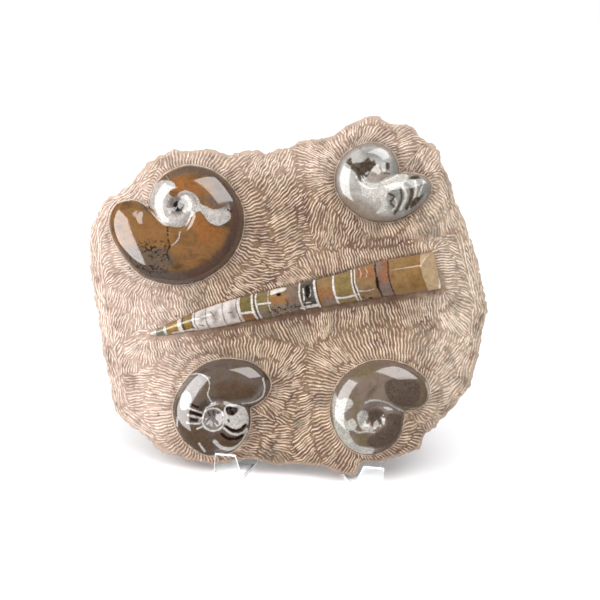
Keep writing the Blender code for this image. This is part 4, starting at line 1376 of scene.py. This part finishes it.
def shellMaterial(name, shell):
    # calcite that replaced the shell, polished: clouds of its three body colours inside its ring
    material, tree = newMaterial(name + "_polished_calcite")
    spot = plateSpot(tree)
    cloud = addNode(tree, "ShaderNodeTexNoise", {
        "Scale": 1 / 15.0, "Detail": 5.0, "Roughness": 0.6, "Distortion": 0.6}, {"Vector": spot})
    one, two, three = shell["body"]
    body = addNode(tree, "ShaderNodeValToRGB", {"stops": [(0.32, two), (0.5, one), (0.68, three)]},
                   {0: cloud.outputs[0]})
    depth = addNode(tree, "ShaderNodeAttribute", {"attribute_name": "rimDepth"})
    wander = addNode(tree, "ShaderNodeMath", {"operation": "MULTIPLY_ADD", 1: 6.0},
                     {0: cloud.outputs[0], 2: depth.outputs["Fac"]})
    ring = addNode(tree, "ShaderNodeMapRange", {
        "interpolation_type": "SMOOTHSTEP", 1: shell["ringWidth"] + 4.5,
        2: shell["ringWidth"] + 0.5, 3: 0.0, 4: 0.85}, {0: wander.outputs[0]})
    sides = addNode(tree, "ShaderNodeAttribute", {"attribute_name": "ringShare"})
    ring = addNode(tree, "ShaderNodeMath", {"operation": "MULTIPLY"},
                   {0: ring.outputs[0], 1: sides.outputs["Fac"]})
    colour = addNode(tree, "ShaderNodeMix", {"data_type": "RGBA", 7: toLinear(shell["ring"])},
                     {0: ring.outputs[0], 6: body.outputs[0]})
    for kind, (size, detail, roughness, begins, full) in shellGrains.items():
        grain = addNode(tree, "ShaderNodeTexNoise", {
            "Scale": 1 / size, "Detail": detail, "Roughness": roughness}, {"Vector": spot})
        share = addNode(tree, "ShaderNodeMapRange", {1: begins, 2: full, 3: 0.0, 4: 0.4},
                        {0: grain.outputs[0]})
        colour = addNode(tree, "ShaderNodeMix", {"data_type": "RGBA", 7: toLinear(shell[kind])},
                         {0: share.outputs[0], 6: colour.outputs[2]})
    colour = addMarks(tree, spot, colour.outputs[2], shell)
    finishMaterial(tree, polishedShader(tree, colour, spot))
    return material


def orthocerasMaterial():
    # calcite that filled the chambers one by one, each with its own colour
    material, tree = newMaterial("orthoceras_polished_calcite")
    spot = plateSpot(tree)
    first = orthoceras["chambers"][0][0]
    last = orthoceras["chamberEnd"]
    place = addNode(tree, "ShaderNodeAttribute", {"attribute_name": "pixelAlong"})
    share = addNode(tree, "ShaderNodeMapRange", {1: first, 2: last}, {0: place.outputs["Fac"]})
    stops = []
    for pixel, colour in orthoceras["chambers"]:
        stops.append(((pixel - first) / (last - first), colour))
    chamber = addNode(tree, "ShaderNodeValToRGB", {"interpolation": "CONSTANT", "stops": stops},
                      {0: share.outputs[0]})
    cloud = addNode(tree, "ShaderNodeTexNoise", {
        "Scale": 1 / 4.0, "Detail": 5.0, "Roughness": 0.65}, {"Vector": spot})
    shade = addNode(tree, "ShaderNodeMapRange", {1: 0.3, 2: 0.7, 3: 0.72, 4: 1.25},
                    {0: cloud.outputs[0]})
    colour = addNode(tree, "ShaderNodeVectorMath", {"operation": "SCALE"},
                     {0: chamber.outputs[0], "Scale": shade.outputs[0]})
    colour = addMarks(tree, spot, colour.outputs[0], orthoceras)
    finishMaterial(tree, polishedShader(tree, colour, spot))
    return material


def acrylicMaterial():
    # extruded acrylic sheet, flame polished: water clear, its cut edges catch the light
    material, tree = newMaterial("clear_acrylic")
    spot = addNode(tree, "ShaderNodeTexCoord")
    scuff = addNode(tree, "ShaderNodeTexNoise", {"Scale": 60.0, "Detail": 3.0},
                    {"Vector": spot.outputs["Object"]})
    rough = addNode(tree, "ShaderNodeMapRange", {1: 0.4, 2: 0.8, 3: 0.01, 4: 0.05},
                    {0: scuff.outputs[0]})
    shader = addNode(tree, "ShaderNodeBsdfPrincipled", {
        "Base Color": toLinear("#FBFCFC"), "IOR": 1.49, "Transmission Weight": 1.0},
        {"Roughness": rough.outputs[0]})
    finishMaterial(tree, shader)
    return material


def acrylicEdgeGlowMaterial():
    # the sheet's cut edges: painted almost white, with a little emission as a painted glow, for
    # the light they gather from the whole sheet
    material, tree = newMaterial("acrylic_edge_painted_glow")
    spot = addNode(tree, "ShaderNodeTexCoord")
    saw = addNode(tree, "ShaderNodeTexNoise", {"Scale": 220.0, "Detail": 2.0},
                  {"Vector": spot.outputs["Object"]})
    rough = addNode(tree, "ShaderNodeMapRange", {1: 0.3, 2: 0.7, 3: 0.18, 4: 0.32},
                    {0: saw.outputs[0]})
    shader = addNode(tree, "ShaderNodeBsdfPrincipled", {
        "Base Color": toLinear("#FDFDFE"), "IOR": 1.49, "Transmission Weight": 0.3,
        "Emission Color": toLinear("#FFFFFF"), "Emission Strength": 0.12},
        {"Roughness": rough.outputs[0]})
    finishMaterial(tree, shader)
    return material


# Putting the object together

def dress(piece, material, slotName, *nodes):
    piece.data.materials.clear()
    piece.data.materials.append(material)
    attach(piece, "root")
    if nodes:
        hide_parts(*nodes)


groundStone = stoneMaterial("tooled_limestone_ground", False)
ridgeStone = stoneMaterial("tooled_limestone_ridges", True)
dress(makeSlab(), groundStone, "limestone", "matrix_slab")
print("slab done")
lines = traceStrokes()
middles = [line[len(line) // 2][0] for line in lines]
leftLines = [line for line, u in zip(lines, middles) if u < 0]
rightLines = [line for line, u in zip(lines, middles) if u >= 0]
for name, group in (("chisel_ridges_left", leftLines), ("chisel_ridges_right", rightLines)):
    ridges = ridgeMesh(name, group, strokes["halfWidth"], strokes["height"], False, 41)
    dress(ridges, ridgeStone, "limestone")
dress(makeRims(), ridgeStone, "limestone")
print("tool strokes done:", len(lines))
for name, shell in goniatites.items():
    dress(makeShell(name, shell), shellMaterial(name, shell), shell["slot"], name)
dress(makeOrthoceras(), orthocerasMaterial(), "orthoceras_calcite", "orthoceras")
print("fossils done")
easel = makeEasel()
dress(easel, acrylicMaterial(), "acrylic", "easel")
easel.data.materials.append(acrylicEdgeGlowMaterial())
front = min(vertex.co.y for vertex in easel.data.vertices)
bend = sheet["bend"] * mm
# cut edges, the lips' tops and the front bend get the edge material with its painted white glow
for face in easel.data.polygons:
    atLip = face.normal.z > 0.9 and face.center.z > sheet["lipTop"] * mm
    atBend = face.center.z < bend and face.center.y < front + bend
    if abs(face.normal.x) > 0.25 or atLip or atBend:
        face.material_index = 1
print("easel done")


# Floor, light and camera

studio = {
    "floorSize": 14.0,
    "cameraDistance": 0.900,  # from the fossils' middle height, along the plate's normal
    "aimHeight": 0.022,
    "lens": 72.0,
    # softboxes: place in the plate's own metres, width, height and watts; the lit cards are only
    # there to be mirrored
    "boxes": {
        "left softbox": ((-1.0, 0.15, 0.62), 0.7, 0.9, 8.5),
        "upper right softbox": ((0.62, 0.85, 0.72), 0.8, 0.5, 6.0),
        "left card": ((-0.95, 0.06, 0.58), 1.0, 1.5, 42.0),
        "upper right card": ((0.53, 0.93, 0.68), 1.2, 0.8, 21.0),
    },
    "sun": 1.95,
    "sunDegrees": 70,  # how wide it is, which softens its shadows
    "sunTurn": (20, -15),
    "world": 0.64,
}


def makeFloor():
    deselectAll()
    bpy.ops.mesh.primitive_plane_add(size=studio["floorSize"], location=(0, 0, 0))
    floor = bpy.context.object
    floor.name = "studio_floor"
    material, tree = newMaterial("matt_white_paper")
    shader = addNode(tree, "ShaderNodeBsdfPrincipled", {
        "Base Color": toLinear("#F4F4F6"), "Roughness": 0.9})
    finishMaterial(tree, shader)
    floor.data.materials.append(material)
    floor.visible_glossy = False


def makeLights():
    aim = platePlace @ Vector((0, 0, 0.02))
    for name, (place, width, tall, watts) in studio["boxes"].items():
        data = bpy.data.lights.new(name, "AREA")
        data.shape = "RECTANGLE"
        data.size = width
        data.size_y = tall
        data.energy = watts
        lamp = bpy.data.objects.new(name, data)
        lamp.location = platePlace @ Vector(place)
        lamp.rotation_euler = (aim - lamp.location).to_track_quat("-Z", "Y").to_euler()
        if name.endswith("card"):
            lamp.visible_diffuse = False
            lamp.visible_transmission = False
        else:
            lamp.visible_glossy = False
        bpy.context.scene.collection.objects.link(lamp)
    data = bpy.data.lights.new("ceiling", "SUN")
    data.energy = studio["sun"]
    data.angle = math.radians(studio["sunDegrees"])
    lamp = bpy.data.objects.new("ceiling", data)
    lamp.rotation_euler = (*(math.radians(turn) for turn in studio["sunTurn"]), 0)
    lamp.visible_glossy = False  # the domes mirror the softboxes, not the ceiling
    bpy.context.scene.collection.objects.link(lamp)
    world = bpy.data.worlds.new("studio")
    world.use_nodes = True
    world.node_tree.nodes["Background"].inputs["Color"].default_value = (1, 1, 1, 1)
    world.node_tree.nodes["Background"].inputs["Strength"].default_value = studio["world"]
    world.cycles_visibility.glossy = False  # the room itself is dark, only the cards are mirrored
    bpy.context.scene.world = world


def makeCamera():
    data = bpy.data.cameras.new("camera")
    data.lens = studio["lens"]
    data.sensor_width = 36.0
    camera = bpy.data.objects.new("camera", data)
    away = studio["aimHeight"] + studio["cameraDistance"]
    camera.matrix_world = platePlace @ Matrix.Translation((0, 0, away))
    bpy.context.scene.collection.objects.link(camera)
    bpy.context.scene.camera = camera


makeFloor()
makeLights()
makeCamera()
bpy.context.scene.view_settings.view_transform = "Standard"
print("studio done")
